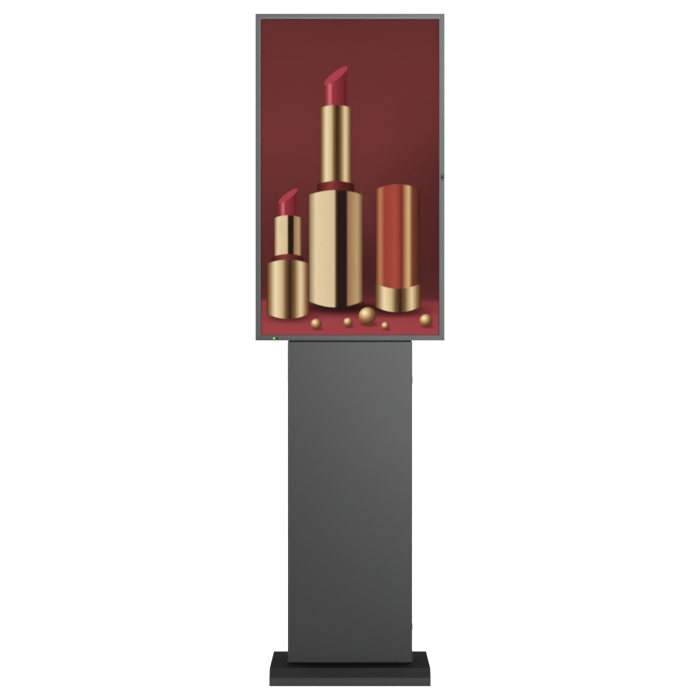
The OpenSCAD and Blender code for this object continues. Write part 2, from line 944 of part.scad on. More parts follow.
module power_board() {
    y0 = tray_y + 8;
    z0 = head_mid - 176;
    color(board_col) {
        span([-235, -115], [y0, y0 + 1.6], [z0, z0 + 170]);
        span([-220, -175], [y0 + 1.6, y0 + 14], [z0 + 70, z0 + 120]);
        for (i = [0 : 3])
            rod_y(-140, z0 + 30 + i * 30, y0 + 1.5, y0 + 14, 9);
        for (x = [-229, -121], z = [z0 + 6, z0 + 164])
            rod_y(x, z, tray_y, y0, 4);
    }
}

module speakers() {
    color(black_col)
        for (s = [-1, 1])
            difference() {
                span([s * speaker_x - 45, s * speaker_x + 45], [tray_y, tray_y + 24],
                    [speaker_z - 28, speaker_z + 28]);
                rod_y(s * speaker_x, speaker_z, tray_y + 16, tray_y + 25, 22);
                for (x = [-38, 38])
                    rod_y(s * speaker_x + x, speaker_z, tray_y + 10, tray_y + 25, 2);
            }
}

module power_lamp() {
    color([0.3, 0.9, 0.2])
        rod_y(lamp_x, lamp_z, head_front - 0.3, glass_y + 2, lamp_r);
}

module sensor_bezel() {
    color(black_col) {
        difference() {
            union() {
                stadium_y(oval_x, oval_z, head_front - 0.4, head_front, 10.4, 19.4);
                stadium_y(oval_x, oval_z, head_front - 0.1, head_front + 3, 9, 18);
            }
            stadium_y(oval_x, oval_z, head_front - 1, head_front + 1, 7, 16);
        }
    }
}

module ir_window() {
    color(black_col)
        rod_y(ir_x, lamp_z, head_front, glass_y + 2, lamp_r);
}

module key(i) {
    z = key_z + 60 + i * key_pitch;
    color(black_col) {
        rod_y(key_x, z, head_back - cover_t - 2, head_back + 1.5, key_r);
        rod_y(key_x, z, head_back - cover_t - 3 - gap, head_back - cover_t - 1 - gap, key_r + 1.5);
        rod_y(key_x, z, head_back - 14, head_back - cover_t - 2, 2);
    }
}

module keypad_board() {
    color(board_col) {
        span([key_x - 12, key_x + 12], [head_back - 18.6, head_back - 17],
            [key_z + 45, key_z + 75 + 2 * key_pitch - 10]);
        for (i = [0 : 2])
            rod_y(key_x, key_z + 60 + i * key_pitch, head_back - 17, head_back - 14 - key_travel - gap, 3);
    }
}

module corner_brackets() {
    leg = 60;
    color(zinc_col)
        for (sx = [-1, 1], sz = [0, 1])
            scale_side(sx)
                translate([0, 0, sz * (head_z + head_top)])
                    mirror([0, 0, sz])
                        difference() {
                            span([hw - leg, hw - wall_t], [tray_y - 6, tray_y + 4],
                                [head_z + wall_t, head_z + leg]);
                            span([hw - leg - 1, hw - panel_in + 2], [tray_y - 7, tray_y + 5],
                                [head_z + panel_in - 2, head_z + leg + 1]);
                        }
}

// Plate on the column with a lip along its top and bottom for the head's rails to hang on.
module wall_bracket() {
    y0 = neck_front - bracket_t;
    color(steel_dark)
        difference() {
            union() {
                span([-150, 150], [y0, neck_front], [head_mid - bracket_h, head_mid + bracket_h]);
                for (s = [-1, 1])
                    span([-150, 150], [y0 - 5, y0],
                        [head_mid + s * (bracket_h - 1.5) - 1.5, head_mid + s * (bracket_h - 1.5) + 1.5]);
            }
            span([-80, 80], [y0 - 1, neck_front + 1], [head_mid - 126, head_mid + 126]);
            for (x = [-hang_bolt_x, hang_bolt_x], z = head_rail_z)
                rod_y(x, z, y0 - 1, neck_front + 1, 4.5);
        }
}

module bracket_bolts() {
    y0 = neck_front - bracket_t;
    color(zinc_col)
        for (x = [-hang_bolt_x, hang_bolt_x], z = head_rail_z) {
            translate([x, y0, z])
                rotate([90, 0, 0])
                    cylinder(h = 5.3, r = 7.5, $fn = 6);
            rod_y(x, z, y0, inner_front + 12, 4);
            translate([x, inner_front + 8.5, z])
                rotate([90, 0, 0])
                    cylinder(h = 6.5, r = 7.5, $fn = 6);
        }
}

module hook_rails() {
    y1 = neck_front - bracket_t - gap;
    color(steel_dark)
        for (s = [-1, 1])
            difference() {
                span([s * rail_x - rail_w / 2, s * rail_x + rail_w / 2], [head_back, y1],
                    [head_mid - 200, head_mid + 200]);
                span([s * rail_x - rail_w / 2 + 2, s * rail_x + rail_w / 2 - 2], [head_back + 2, y1 + 1],
                    [head_mid - 201, head_mid + 201]);
                for (z = [head_mid - bracket_h - gap, head_mid + bracket_h - bracket_t - gap])
                    span([s * rail_x - rail_w, s * rail_x + rail_w],
                        [neck_front - bracket_t - 5.3, y1 + 1], [z, z + bracket_t + gap]);
                for (k = [-1, 1])
                    rod_y(s * rail_x, head_mid + k * 100, head_back - 1, head_back + 3, 3);
            }
}

module rail_screws() {
    color(zinc_col)
        for (s = [-1, 1], k = [-1, 1])
            difference() {
                union() {
                    rod_y(s * rail_x, head_mid + k * 100, tray_y, head_back + 2, 3);
                    rod_y(s * rail_x, head_mid + k * 100, tray_y, head_back - cover_t, 6);
                    rod_y(s * rail_x, head_mid + k * 100, head_back + 2, head_back + 5, 5.5);
                }
                translate([s * rail_x, head_back + 3.5, head_mid + k * 100])
                    rotate([-90, 0, 0])
                        cylinder(h = 2, r = 2.3, $fn = 6);
            }
}

// ---------- parts ----------

base_cover();
base_plate();
cover_screws();
foot(-foot_x, -foot_y);  // foot_front_left
foot(foot_x, -foot_y);  // foot_front_right
foot(-foot_x, foot_y);  // foot_rear_left
foot(foot_x, foot_y);  // foot_rear_right
column_flange();
column_bolts();
power_inlet();
inlet_pins();
rocker();
column_shell();
column_frame();
top_cap();
rear_panel();
panel_screws();
fan_frame();
fan_rotor();
fan_guard();
lock_keepers();
equipment_plate();
media_player();
player_button();
power_strip();
mains_cable();
head_harness();
door_panel();
hinge_leaves_fixed();
hinge_leaves_door();
hinge_pins();
lock_bodies();
lock_nuts();
lock_cam(lock_z1);  // lock_cam_upper
lock_cam(lock_z0);  // lock_cam_lower
wall_bracket();
bracket_bolts();
hook_rails();
rail_screws();
frame_left();
frame_right();
frame_top();
frame_bottom();
corner_brackets();
cover_glass();
touch_sensor();
lcd_panel();
diffuser();
panel_chassis();
rear_cover();
main_board();
power_board();
speakers();
power_lamp();
ir_window();
sensor_bezel();
key(2);  // key_power
key(1);  // key_up
key(0);  // key_down
keypad_board();
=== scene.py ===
import json
import math

import bmesh
import bpy
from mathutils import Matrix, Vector


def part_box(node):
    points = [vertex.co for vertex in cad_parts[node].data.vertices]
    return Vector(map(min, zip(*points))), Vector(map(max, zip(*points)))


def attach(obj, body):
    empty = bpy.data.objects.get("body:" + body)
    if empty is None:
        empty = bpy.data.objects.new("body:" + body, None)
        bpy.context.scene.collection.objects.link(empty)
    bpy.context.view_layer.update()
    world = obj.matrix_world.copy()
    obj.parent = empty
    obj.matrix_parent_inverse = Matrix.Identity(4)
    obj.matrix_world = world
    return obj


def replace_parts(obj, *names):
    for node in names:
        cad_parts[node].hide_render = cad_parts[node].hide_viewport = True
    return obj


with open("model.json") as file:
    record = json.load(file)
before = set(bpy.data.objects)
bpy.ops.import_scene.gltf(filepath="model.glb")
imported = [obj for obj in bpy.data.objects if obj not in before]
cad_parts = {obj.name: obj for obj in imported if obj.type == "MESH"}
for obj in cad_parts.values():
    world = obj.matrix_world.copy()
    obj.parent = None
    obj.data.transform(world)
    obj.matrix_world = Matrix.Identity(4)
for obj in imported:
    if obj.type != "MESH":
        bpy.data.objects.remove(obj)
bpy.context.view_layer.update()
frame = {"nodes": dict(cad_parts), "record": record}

# ---------------------------------------------------------------- measures, millimetres

MM = 0.001
NODES = frame["nodes"]
RECORD = frame["record"]
BODY = {node: body for body, nodes in RECORD["behaviour"]["bodies"].items() for node in nodes}


def mm(vector):
    return [c / MM for c in vector]


HEAD_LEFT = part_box("frame_left")[0].x / MM
HEAD_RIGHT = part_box("frame_right")[1].x / MM
HEAD_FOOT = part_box("frame_bottom")[0].z / MM
HEAD_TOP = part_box("frame_top")[1].z / MM
HEAD_MID = (HEAD_FOOT + HEAD_TOP) / 2
HEAD_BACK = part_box("rear_cover")[1].y / MM
COLUMN_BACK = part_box("column_shell")[1].y / MM
PICTURE_W = 529.4
PICTURE_H = 941.2
SEAM = 4.6  # height of the band under the head that is painted dark as shade


# ---------------------------------------------------------------- camera, light and floor, metres

CAMERA_AWAY = 7.725
CAMERA_HEIGHT = 1.0066
CAMERA_LENS = 131.2
CAMERA_SHIFT = -0.0084
FLOOR_HALF = 60
WHITE = (1, 1, 1, 1)


def make_camera():
    data = bpy.data.cameras.new("camera")
    data.lens = CAMERA_LENS
    data.sensor_width = 36
    data.shift_y = CAMERA_SHIFT
    data.clip_end = 200
    cam = bpy.data.objects.new("camera", data)
    cam.location = (0, -CAMERA_AWAY, CAMERA_HEIGHT)
    cam.rotation_euler = (math.radians(90), 0, 0)
    bpy.context.collection.objects.link(cam)
    bpy.context.scene.camera = cam


def hang_lamp(data, place, target):
    """Adds a lamp that is aimed at a point and that the camera doesn't see."""
    lamp = bpy.data.objects.new(data.name, data)
    lamp.location = place
    lamp.rotation_euler = (Vector(target) - Vector(place)).to_track_quat("-Z", "Y").to_euler()
    lamp.visible_camera = False
    bpy.context.collection.objects.link(lamp)


def area_light(name, place, target, size, power):
    data = bpy.data.lights.new(name, "AREA")
    data.shape = "RECTANGLE"
    data.size, data.size_y = size
    data.energy = power
    hang_lamp(data, place, target)


def spot_light(name, place, target, angle, radius, power):
    data = bpy.data.lights.new(name, "SPOT")
    data.spot_size = math.radians(angle)
    data.spot_blend = 1.0
    data.shadow_soft_size = radius
    data.energy = power
    hang_lamp(data, place, target)


def make_lights():
    spot_light("key", place=(0.8, -6.0, 1.5), target=(2.2, 0, 2.9), angle=70, radius=0.25,
               power=1470)
    area_light("front_fill", place=(0, -6.0, 0.45), target=(0, 0, 1.0), size=(3.2, 0.8), power=53)
    for name, side in (("rear_left", -1), ("rear_right", 1)):
        area_light(name, place=(side * 4.6, 3.6, 0.75), target=(0, 0, 1.1), size=(2.4, 1.2),
                   power=110)


def glow(tree, kind, strength):
    """White background or emission shader."""
    node = tree.nodes.new(kind)
    node.inputs["Color"].default_value = WHITE
    node.inputs["Strength"].default_value = strength
    return node.outputs[0]


def camera_mix(tree, others, camera):
    """Shader socket that gives the camera one shader and all other rays another."""
    ray = tree.nodes.new("ShaderNodeLightPath")
    mix = tree.nodes.new("ShaderNodeMixShader")
    tree.links.new(ray.outputs["Is Camera Ray"], mix.inputs["Fac"])
    tree.links.new(others, mix.inputs[1])
    tree.links.new(camera, mix.inputs[2])
    return mix.outputs[0]


def make_backdrop():
    """White paper behind the object, with a weak even light from all around."""
    world = bpy.data.worlds.new("studio")
    bpy.context.scene.world = world
    world.use_nodes = True
    tree = world.node_tree
    tree.nodes.clear()
    out = tree.nodes.new("ShaderNodeOutputWorld")
    ambient = glow(tree, "ShaderNodeBackground", 0.25)
    paper = glow(tree, "ShaderNodeBackground", 1.05)
    tree.links.new(camera_mix(tree, ambient, paper), out.inputs["Surface"])


def make_floor():
    """White floor: it glows for the camera only, and bounces light like pale paper."""
    mesh = bpy.data.meshes.new("floor")
    corners = [(x * FLOOR_HALF, y * FLOOR_HALF, 0) for x, y in ((-1, -1), (1, -1), (1, 1), (-1, 1))]
    mesh.from_pydata(corners, [], [(0, 1, 2, 3)])
    floor = bpy.data.objects.new("floor", mesh)
    bpy.context.collection.objects.link(floor)
    mat = bpy.data.materials.new("floor_paper")
    mat.use_nodes = True
    tree = mat.node_tree
    tree.nodes.clear()
    out = tree.nodes.new("ShaderNodeOutputMaterial")
    paint = tree.nodes.new("ShaderNodeBsdfDiffuse")
    paint.inputs["Color"].default_value = (0.75, 0.75, 0.75, 1)
    add = tree.nodes.new("ShaderNodeAddShader")
    tree.links.new(paint.outputs[0], add.inputs[0])
    tree.links.new(camera_mix(tree, glow(tree, "ShaderNodeEmission", 0.0),
                              glow(tree, "ShaderNodeEmission", 1.0)), add.inputs[1])
    tree.links.new(add.outputs[0], out.inputs["Surface"])
    mesh.materials.append(mat)


# ---------------------------------------------------------------- shader maths

class Val:
    """A shader socket that can be used in Python arithmetic."""

    def __init__(self, tree, socket):
        self.tree = tree
        self.socket = socket

    def __add__(self, other):
        return op(self.tree, "ADD", self, other)

    __radd__ = __add__

    def __sub__(self, other):
        return op(self.tree, "SUBTRACT", self, other)

    def __rsub__(self, other):
        return op(self.tree, "SUBTRACT", other, self)

    def __mul__(self, other):
        return op(self.tree, "MULTIPLY", self, other)

    __rmul__ = __mul__

    def __truediv__(self, other):
        return op(self.tree, "DIVIDE", self, other)


def op(tree, kind, *values, clamp=False):
    node = tree.nodes.new("ShaderNodeMath")
    node.operation = kind
    node.use_clamp = clamp
    for i, v in enumerate(values):
        plug(tree, v, node.inputs[i])
    return Val(tree, node.outputs[0])


def plug(tree, value, socket):
    if isinstance(value, Val):
        tree.links.new(value.socket, socket)
    else:
        socket.default_value = value


def material(name):
    """A material with only a Principled shader on its output: (material, tree, shader)."""
    mat = bpy.data.materials.new(name)
    mat.use_nodes = True
    tree = mat.node_tree
    shader = tree.nodes["Principled BSDF"]
    return mat, tree, shader


def coords(tree):
    return tree.nodes.new("ShaderNodeTexCoord").outputs["Object"]


def stretched(tree, scale):
    mapping = tree.nodes.new("ShaderNodeMapping")
    mapping.inputs["Scale"].default_value = scale
    tree.links.new(coords(tree), mapping.inputs["Vector"])
    return mapping.outputs["Vector"]


def noise(tree, scale, detail=2.0, roughness=0.5, vector=None):
    node = tree.nodes.new("ShaderNodeTexNoise")
    node.inputs["Scale"].default_value = scale
    node.inputs["Detail"].default_value = detail
    node.inputs["Roughness"].default_value = roughness
    tree.links.new(vector or coords(tree), node.inputs["Vector"])
    return Val(tree, node.outputs["Fac"])


def ramp(tree, value, *stops):
    """Colour ramp; each stop is (position, colour)."""
    node = tree.nodes.new("ShaderNodeValToRGB")
    line = node.color_ramp.elements
    while len(line) < len(stops):
        line.new(0.5)
    for element, (place, colour) in zip(line, stops):
        element.position = place
        element.color = colour
    plug(tree, value, node.inputs["Fac"])
    return Val(tree, node.outputs["Color"])


def spread(tree, value, low, high):
    """Maps 0..1 to low..high."""
    node = tree.nodes.new("ShaderNodeMapRange")
    node.inputs["To Min"].default_value = low
    node.inputs["To Max"].default_value = high
    plug(tree, value, node.inputs["Value"])
    return Val(tree, node.outputs["Result"])


def mix_colour(tree, fac, a, b):
    node = tree.nodes.new("ShaderNodeMix")
    node.data_type = "RGBA"
    plug(tree, fac, node.inputs["Factor"])
    plug(tree, a, node.inputs["A"])
    plug(tree, b, node.inputs["B"])
    return Val(tree, node.outputs["Result"])


def bump(tree, shader, height, distance, strength=1.0):
    node = tree.nodes.new("ShaderNodeBump")
    node.inputs["Distance"].default_value = distance
    node.inputs["Strength"].default_value = strength
    plug(tree, height, node.inputs["Height"])
    tree.links.new(node.outputs["Normal"], shader.inputs["Normal"])


def tint(colour, by):
    """Lighter or darker version of a colour."""
    return tuple(min(1, c * by) for c in colour[:3]) + (1,)


def edges(tree, radius, gain=4.0):
    """1 near sharp edges, 0 on flats."""
    round_normal = tree.nodes.new("ShaderNodeBevel")
    round_normal.inputs["Radius"].default_value = radius
    round_normal.samples = 4
    flat_normal = tree.nodes.new("ShaderNodeNewGeometry")
    dot = tree.nodes.new("ShaderNodeVectorMath")
    dot.operation = "DOT_PRODUCT"
    tree.links.new(round_normal.outputs["Normal"], dot.inputs[0])
    tree.links.new(flat_normal.outputs["Normal"], dot.inputs[1])
    return op(tree, "MULTIPLY", 1.0 - Val(tree, dot.outputs["Value"]), gain, clamp=True)


# ---------------------------------------------------------------- materials

def powder_coat(name, colour, rough=0.5, grain=1500, gloss=0.5):
    """Fine-textured paint on steel: orange peel, slight mottling, edges rubbed a little lighter."""
    mat, tree, shader = material(name)
    peel = noise(tree, grain, detail=3)
    cloud = noise(tree, 6, detail=3)
    mottled = mix_colour(tree, cloud, tint(colour, 0.9), tint(colour, 1.1))
    rubbed = edges(tree, 1.2 * MM) * 0.35
    worn = mix_colour(tree, rubbed, mottled, tint(colour, 2.2))
    roughness = spread(tree, peel * 0.6 + cloud * 0.4, rough - 0.08, rough + 0.1)
    tree.links.new(worn.socket, shader.inputs["Base Color"])
    tree.links.new(roughness.socket, shader.inputs["Roughness"])
    shader.inputs["Specular IOR Level"].default_value = gloss
    bump(tree, shader, peel, 0.06 * MM, 0.6)
    return mat


def satin_metal(name, colour, along, rough=0.5, gloss=0.35):
    """Satin anodised aluminium with fine draw lines; `along` stretches the lines."""
    mat, tree, shader = material(name)
    lines = noise(tree, 1, detail=3, roughness=0.6, vector=stretched(tree, along))
    cloud = noise(tree, 9)
    tone = mix_colour(tree, lines * 0.6 + cloud * 0.4, tint(colour, 0.88), tint(colour, 1.12))
    roughness = spread(tree, lines, rough - 0.06, rough + 0.08)
    tree.links.new(tone.socket, shader.inputs["Base Color"])
    tree.links.new(roughness.socket, shader.inputs["Roughness"])
    shader.inputs["Specular IOR Level"].default_value = gloss
    bump(tree, shader, lines, 0.02 * MM, 0.4)
    return mat


def plated_steel(name, colour, rough=0.3):
    """Zinc, nickel or brass: cloudy crystals, fine scratches."""
    mat, tree, shader = material(name)
    cells = tree.nodes.new("ShaderNodeTexVoronoi")
    cells.inputs["Scale"].default_value = 120
    tree.links.new(coords(tree), cells.inputs["Vector"])
    cloud = noise(tree, 14, detail=4, roughness=0.6)
    grain = Val(tree, cells.outputs["Distance"]) * 0.5 + cloud * 0.5
    tone = mix_colour(tree, grain, tint(colour, 0.8), colour)
    roughness = spread(tree, grain, rough - 0.06, rough + 0.16)
    tree.links.new(tone.socket, shader.inputs["Base Color"])
    tree.links.new(roughness.socket, shader.inputs["Roughness"])
    shader.inputs["Metallic"].default_value = 1.0
    bump(tree, shader, noise(tree, 700), 0.02 * MM, 0.3)
    return mat


def moulded(name, colour, rough=0.45, grain=2200, gloss=0.5):
    """Moulded plastic, rubber or foam with a fine texture."""
    mat, tree, shader = material(name)
    fine = noise(tree, grain)
    cloud = noise(tree, 20)
    tone = mix_colour(tree, cloud, tint(colour, 0.85), tint(colour, 1.15))
    roughness = spread(tree, fine, rough - 0.07, rough + 0.1)
    tree.links.new(tone.socket, shader.inputs["Base Color"])
    tree.links.new(roughness.socket, shader.inputs["Roughness"])
    shader.inputs["Specular IOR Level"].default_value = gloss
    bump(tree, shader, fine, 0.03 * MM, 0.5)
    return mat


def circuit_board(name):
    """Green solder mask over copper tracks."""
    mat, tree, shader = material(name)
    brick = tree.nodes.new("ShaderNodeTexBrick")
    brick.inputs["Scale"].default_value = 180
    brick.inputs["Mortar Size"].default_value = 0.06
    brick.inputs["Color1"].default_value = (0.008, 0.07, 0.03, 1)
    brick.inputs["Color2"].default_value = (0.012, 0.09, 0.04, 1)
    brick.inputs["Mortar"].default_value = (0.03, 0.2, 0.09, 1)
    tree.links.new(coords(tree), brick.inputs["Vector"])
    tree.links.new(brick.outputs["Color"], shader.inputs["Base Color"])
    tree.links.new(spread(tree, noise(tree, 60), 0.25, 0.4).socket, shader.inputs["Roughness"])
    bump(tree, shader, Val(tree, brick.outputs["Fac"]), 0.05 * MM, 0.4)
    return mat


def clear_glass(name, colour):
    """Coated glass: it reflects less than bare glass, so that the picture stays clean."""
    mat, tree, shader = material(name)
    smear = spread(tree, noise(tree, 9, detail=3), 0.0, 0.006)
    shader.inputs["Base Color"].default_value = colour
    shader.inputs["Transmission Weight"].default_value = 1.0
    shader.inputs["IOR"].default_value = 1.1
    tree.links.new(smear.socket, shader.inputs["Roughness"])
    return mat


def clear_film(name):
    """Touch film laminated to the glass: all but invisible."""
    mat, tree, shader = material(name)
    shader.inputs["Base Color"].default_value = (0.05, 0.06, 0.06, 1)
    shader.inputs["Alpha"].default_value = 0.02
    shader.inputs["Specular IOR Level"].default_value = 0.0
    tree.links.new(spread(tree, noise(tree, 30), 0.1, 0.2).socket, shader.inputs["Roughness"])
    return mat


def lamp_material(name, colour, strength):
    """Tinted plastic that glows."""
    mat, tree, shader = material(name)
    shader.inputs["Base Color"].default_value = colour
    tree.links.new(spread(tree, noise(tree, 900), 0.2, 0.35).socket, shader.inputs["Roughness"])
    shader.inputs["Emission Color"].default_value = colour
    shader.inputs["Emission Strength"].default_value = strength
    return mat


# ---------------------------------------------------------------- the picture on the screen

SOFT_EDGE = 0.0022  # width of a shape's edge; one unit is the picture's width
SOFT_OVAL = 0.06    # the same for ovals, as a share of their size


def srgb(r, g, b):
    """Linear colour from 8-bit display values."""
    def lin(c):
        c /= 255
        return c / 12.92 if c <= 0.04045 else ((c + 0.055) / 1.055) ** 2.4
    return (lin(r), lin(g), lin(b), 1.0)


def soft(tree, value, width=SOFT_EDGE):
    """Soft step: 0 below zero, 1 above."""
    return op(tree, "ADD", value / width, 0.5, clamp=True)


def stops(*pairs):
    return [(place, srgb(*colour)) for place, colour in pairs]


# tones across a round bar, from its left edge to its right one
GOLD = stops(
    (0, (58, 34, 20)), (0.08, (150, 110, 66)), (0.2, (235, 214, 174)), (0.34, (214, 186, 138)),
    (0.45, (112, 78, 48)), (0.55, (44, 26, 18)), (0.66, (122, 86, 54)), (0.8, (230, 204, 158)),
    (0.92, (142, 100, 62)), (1, (60, 34, 24)))
CREAM = stops(
    (0, (134, 104, 76)), (0.12, (226, 203, 164)), (0.47, (214, 188, 148)), (0.5, (96, 60, 42)),
    (0.54, (30, 20, 16)), (0.7, (36, 24, 20)), (0.73, (150, 112, 76)), (0.9, (188, 152, 108)),
    (1, (96, 66, 48)))
COPPER = stops(
    (0, (72, 28, 22)), (0.1, (190, 120, 82)), (0.2, (150, 62, 48)), (0.45, (168, 72, 58)),
    (0.6, (120, 44, 38)), (0.74, (214, 172, 120)), (0.82, (120, 60, 44)), (1, (64, 24, 20)))
CRIMSON = stops(
    (0, (112, 34, 44)), (0.12, (150, 48, 60)), (0.26, (206, 112, 120)), (0.36, (152, 50, 60)),
    (0.75, (118, 36, 44)), (0.94, (92, 28, 36)), (1, (128, 44, 54)))
WINE = stops(
    (0, (56, 18, 20)), (0.22, (116, 42, 42)), (0.34, (134, 58, 54)), (0.6, (96, 34, 34)),
    (1, (50, 16, 18)))
# tones of a bead, from its highlight outwards
BEAD = stops(
    (0, (255, 244, 214)), (0.14, (236, 206, 150)), (0.5, (150, 104, 62)), (0.8, (84, 44, 30)),
    (1, (150, 60, 50)))
# tones of the ground, from the foot of the picture to its top
GROUND = stops(
    (0, (158, 65, 69)), (0.1, (147, 58, 62)), (0.118, (94, 38, 38)), (0.16, (84, 37, 36)),
    (0.34, (92, 41, 40)), (0.62, (111, 48, 46)), (0.86, (105, 45, 44)), (1, (98, 43, 42)))
CUT_FACE = srgb(168, 62, 74)
SHADE = srgb(34, 12, 12)


class Canvas:
    """Paint laid down shape by shape: x from the middle, y from the foot, in picture widths."""

    def __init__(self, tree):
        self.tree = tree
        split = tree.nodes.new("ShaderNodeSeparateXYZ")
        tree.links.new(coords(tree), split.inputs[0])
        foot = (HEAD_MID - PICTURE_H / 2) * MM
        self.x = Val(tree, split.outputs["X"]) / (PICTURE_W * MM)
        self.y = (Val(tree, split.outputs["Z"]) - foot) / (PICTURE_W * MM)
        drift = noise(tree, 2.4) * 0.06 - 0.03
        self.paint = ramp(tree, self.y / (PICTURE_H / PICTURE_W) + drift * 0.5, *GROUND)

    def lay(self, mask, colour):
        self.paint = mix_colour(self.tree, mask, self.paint, colour)

    def shade(self, at, size, depth):
        """Soft dark oval."""
        u, v = (self.x - at[0]) / size[0], (self.y - at[1]) / size[1]
        fall = op(self.tree, "SUBTRACT", 1.0, u * u + v * v, clamp=True)
        self.lay(fall * fall * depth, SHADE)

    def rod(self, at, half, length, tones, foot=0.0, crown=0.0, cut=0.0):
        """Upright polished bar that stands at a point, with bowed ends and a slanted top."""
        tree = self.tree
        along, across = self.y - at[1], self.x - at[0]
        rel = across / half
        bow = 1.0 - rel * rel
        top = length + rel * cut + bow * crown - along
        sides = soft(tree, half - op(tree, "ABSOLUTE", across))
        mask = sides * soft(tree, along + bow * foot) * soft(tree, top)
        self.lay(mask, ramp(tree, rel * 0.5 + 0.5, *tones))

    def face(self, at, half, length, cut, depth):
        """Cut face at the top of a rod, seen as a slanted oval."""
        along, across = self.y - at[1], self.x - at[0]
        rel = across / half
        off = (along - length - rel * cut) / depth
        self.lay(soft(self.tree, 1.0 - rel * rel - off * off, SOFT_OVAL), CUT_FACE)

    def bead(self, at, radius):
        """Small ball with its highlight at the upper left and a shadow under it."""
        tree = self.tree
        self.shade((at[0] + 0.01, at[1] - radius * 0.9), (radius * 1.5, radius * 0.5), 0.7)
        dx, dy = (self.x - at[0]) / radius, (self.y - at[1]) / radius
        mask = soft(tree, 1.0 - op(tree, "SQRT", dx * dx + dy * dy), SOFT_OVAL)
        hx, hy = dx + 0.35, dy - 0.4
        self.lay(mask, ramp(tree, op(tree, "SQRT", hx * hx + hy * hy) * 0.62, *BEAD))


def picture_material():
    """A plain still life that stands for any signage picture: three tubes and some beads."""
    mat, tree, shader = material("screen_picture")
    art = Canvas(tree)
    art.shade((0.55, 0.75), (0.5, 0.8), 0.35)
    art.shade((0.0, 0.15), (0.62, 0.07), 0.95)
    art.shade((0.05, 0.36), (0.5, 0.3), 0.4)
    # the tall one in the middle: core, sleeve, collar and body
    art.shade((-0.08, 0.16), (0.26, 0.05), 0.8)
    art.rod((-0.08, 1.2), 0.068, 0.27, CRIMSON, cut=0.045)
    art.face((-0.08, 1.2), 0.066, 0.262, cut=0.045, depth=0.026)
    art.rod((-0.08, 0.84), 0.09, 0.44, GOLD, crown=0.016)
    art.rod((-0.08, 0.78), 0.104, 0.07, WINE, crown=0.018)
    art.rod((-0.08, 0.19), 0.15, 0.6, CREAM, foot=0.035, crown=0.026)
    # a closed one to its right
    art.shade((0.28, 0.13), (0.24, 0.05), 0.8)
    art.rod((0.27, 0.16), 0.125, 0.66, COPPER, foot=0.032, crown=0.03)
    art.rod((0.27, 0.16), 0.129, 0.13, GOLD, foot=0.033, crown=-0.03)
    # a short one to its left
    art.shade((-0.34, 0.1), (0.2, 0.05), 0.8)
    art.rod((-0.35, 0.6), 0.056, 0.19, CRIMSON, cut=0.036)
    art.face((-0.35, 0.6), 0.054, 0.183, cut=0.036, depth=0.022)
    art.rod((-0.35, 0.42), 0.075, 0.24, CREAM, crown=0.014)
    art.rod((-0.35, 0.38), 0.088, 0.06, WINE, crown=0.016)
    art.rod((-0.35, 0.12), 0.12, 0.28, GOLD, foot=0.03, crown=0.024)
    # beads on the floor
    for at, radius in (((0.1, 0.105), 0.05), ((-0.01, 0.07), 0.026), ((0.43, 0.08), 0.036),
                       ((-0.19, 0.06), 0.03), ((0.2, 0.05), 0.022)):
        art.bead(at, radius)
    shader.inputs["Base Color"].default_value = (0.004, 0.003, 0.003, 1)
    shader.inputs["Specular IOR Level"].default_value = 0.0
    tree.links.new(spread(tree, noise(tree, 40), 0.3, 0.4).socket, shader.inputs["Roughness"])
    tree.links.new(art.paint.socket, shader.inputs["Emission Color"])
    shader.inputs["Emission Strength"].default_value = 1.08
    return mat


# ---------------------------------------------------------------- mesh tools, millimetres

SMOOTH_BELOW = math.radians(35)
FLAT_WITHIN = math.radians(0.4)


def point(axis, along, u, v):
    """Place in space from one along an axis and two across it."""
    return {"x": (along, u, v), "y": (u, along, v), "z": (u, v, along)}[axis]


def block(bm, x, y, z):
    """Box between two places on each axis."""
    v = [bm.verts.new((a * MM, b * MM, c * MM)) for a in x for b in y for c in z]
    for f in ((0, 1, 3, 2), (4, 6, 7, 5), (0, 4, 5, 1), (2, 3, 7, 6), (0, 2, 6, 4), (1, 5, 7, 3)):
        bm.faces.new([v[i] for i in f])


def prism(bm, axis, outline, lo, hi):
    """Solid with a flat outline, between two places on an axis."""
    ends = [[bm.verts.new([c * MM for c in point(axis, at, u, v)]) for u, v in outline]
            for at in (lo, hi)]
    bm.faces.new(ends[0])
    bm.faces.new(ends[1][::-1])
    for i in range(len(outline)):
        j = (i + 1) % len(outline)
        bm.faces.new([ends[0][i], ends[0][j], ends[1][j], ends[1][i]])


def inset(box, by):
    """Rectangle (u0, u1, v0, v1) with every side moved inwards."""
    return (box[0] + by, box[1] - by, box[2] + by, box[3] - by)


def ring(bm, axis, outer, inner, lo, hi):
    """Frame between two rectangles (u0, u1, v0, v1)."""
    def corners(box, at):
        u0, u1, v0, v1 = box
        return [bm.verts.new([c * MM for c in point(axis, at, u, v)])
                for u, v in ((u0, v0), (u1, v0), (u1, v1), (u0, v1))]
    a, b, c, d = corners(outer, lo), corners(inner, lo), corners(outer, hi), corners(inner, hi)
    for i in range(4):
        j = (i + 1) % 4
        for quad in ((a[i], a[j], b[j], b[i]), (c[i], d[i], d[j], c[j]),
                     (a[i], c[i], c[j], a[j]), (b[i], b[j], d[j], d[i])):
            bm.faces.new(quad)


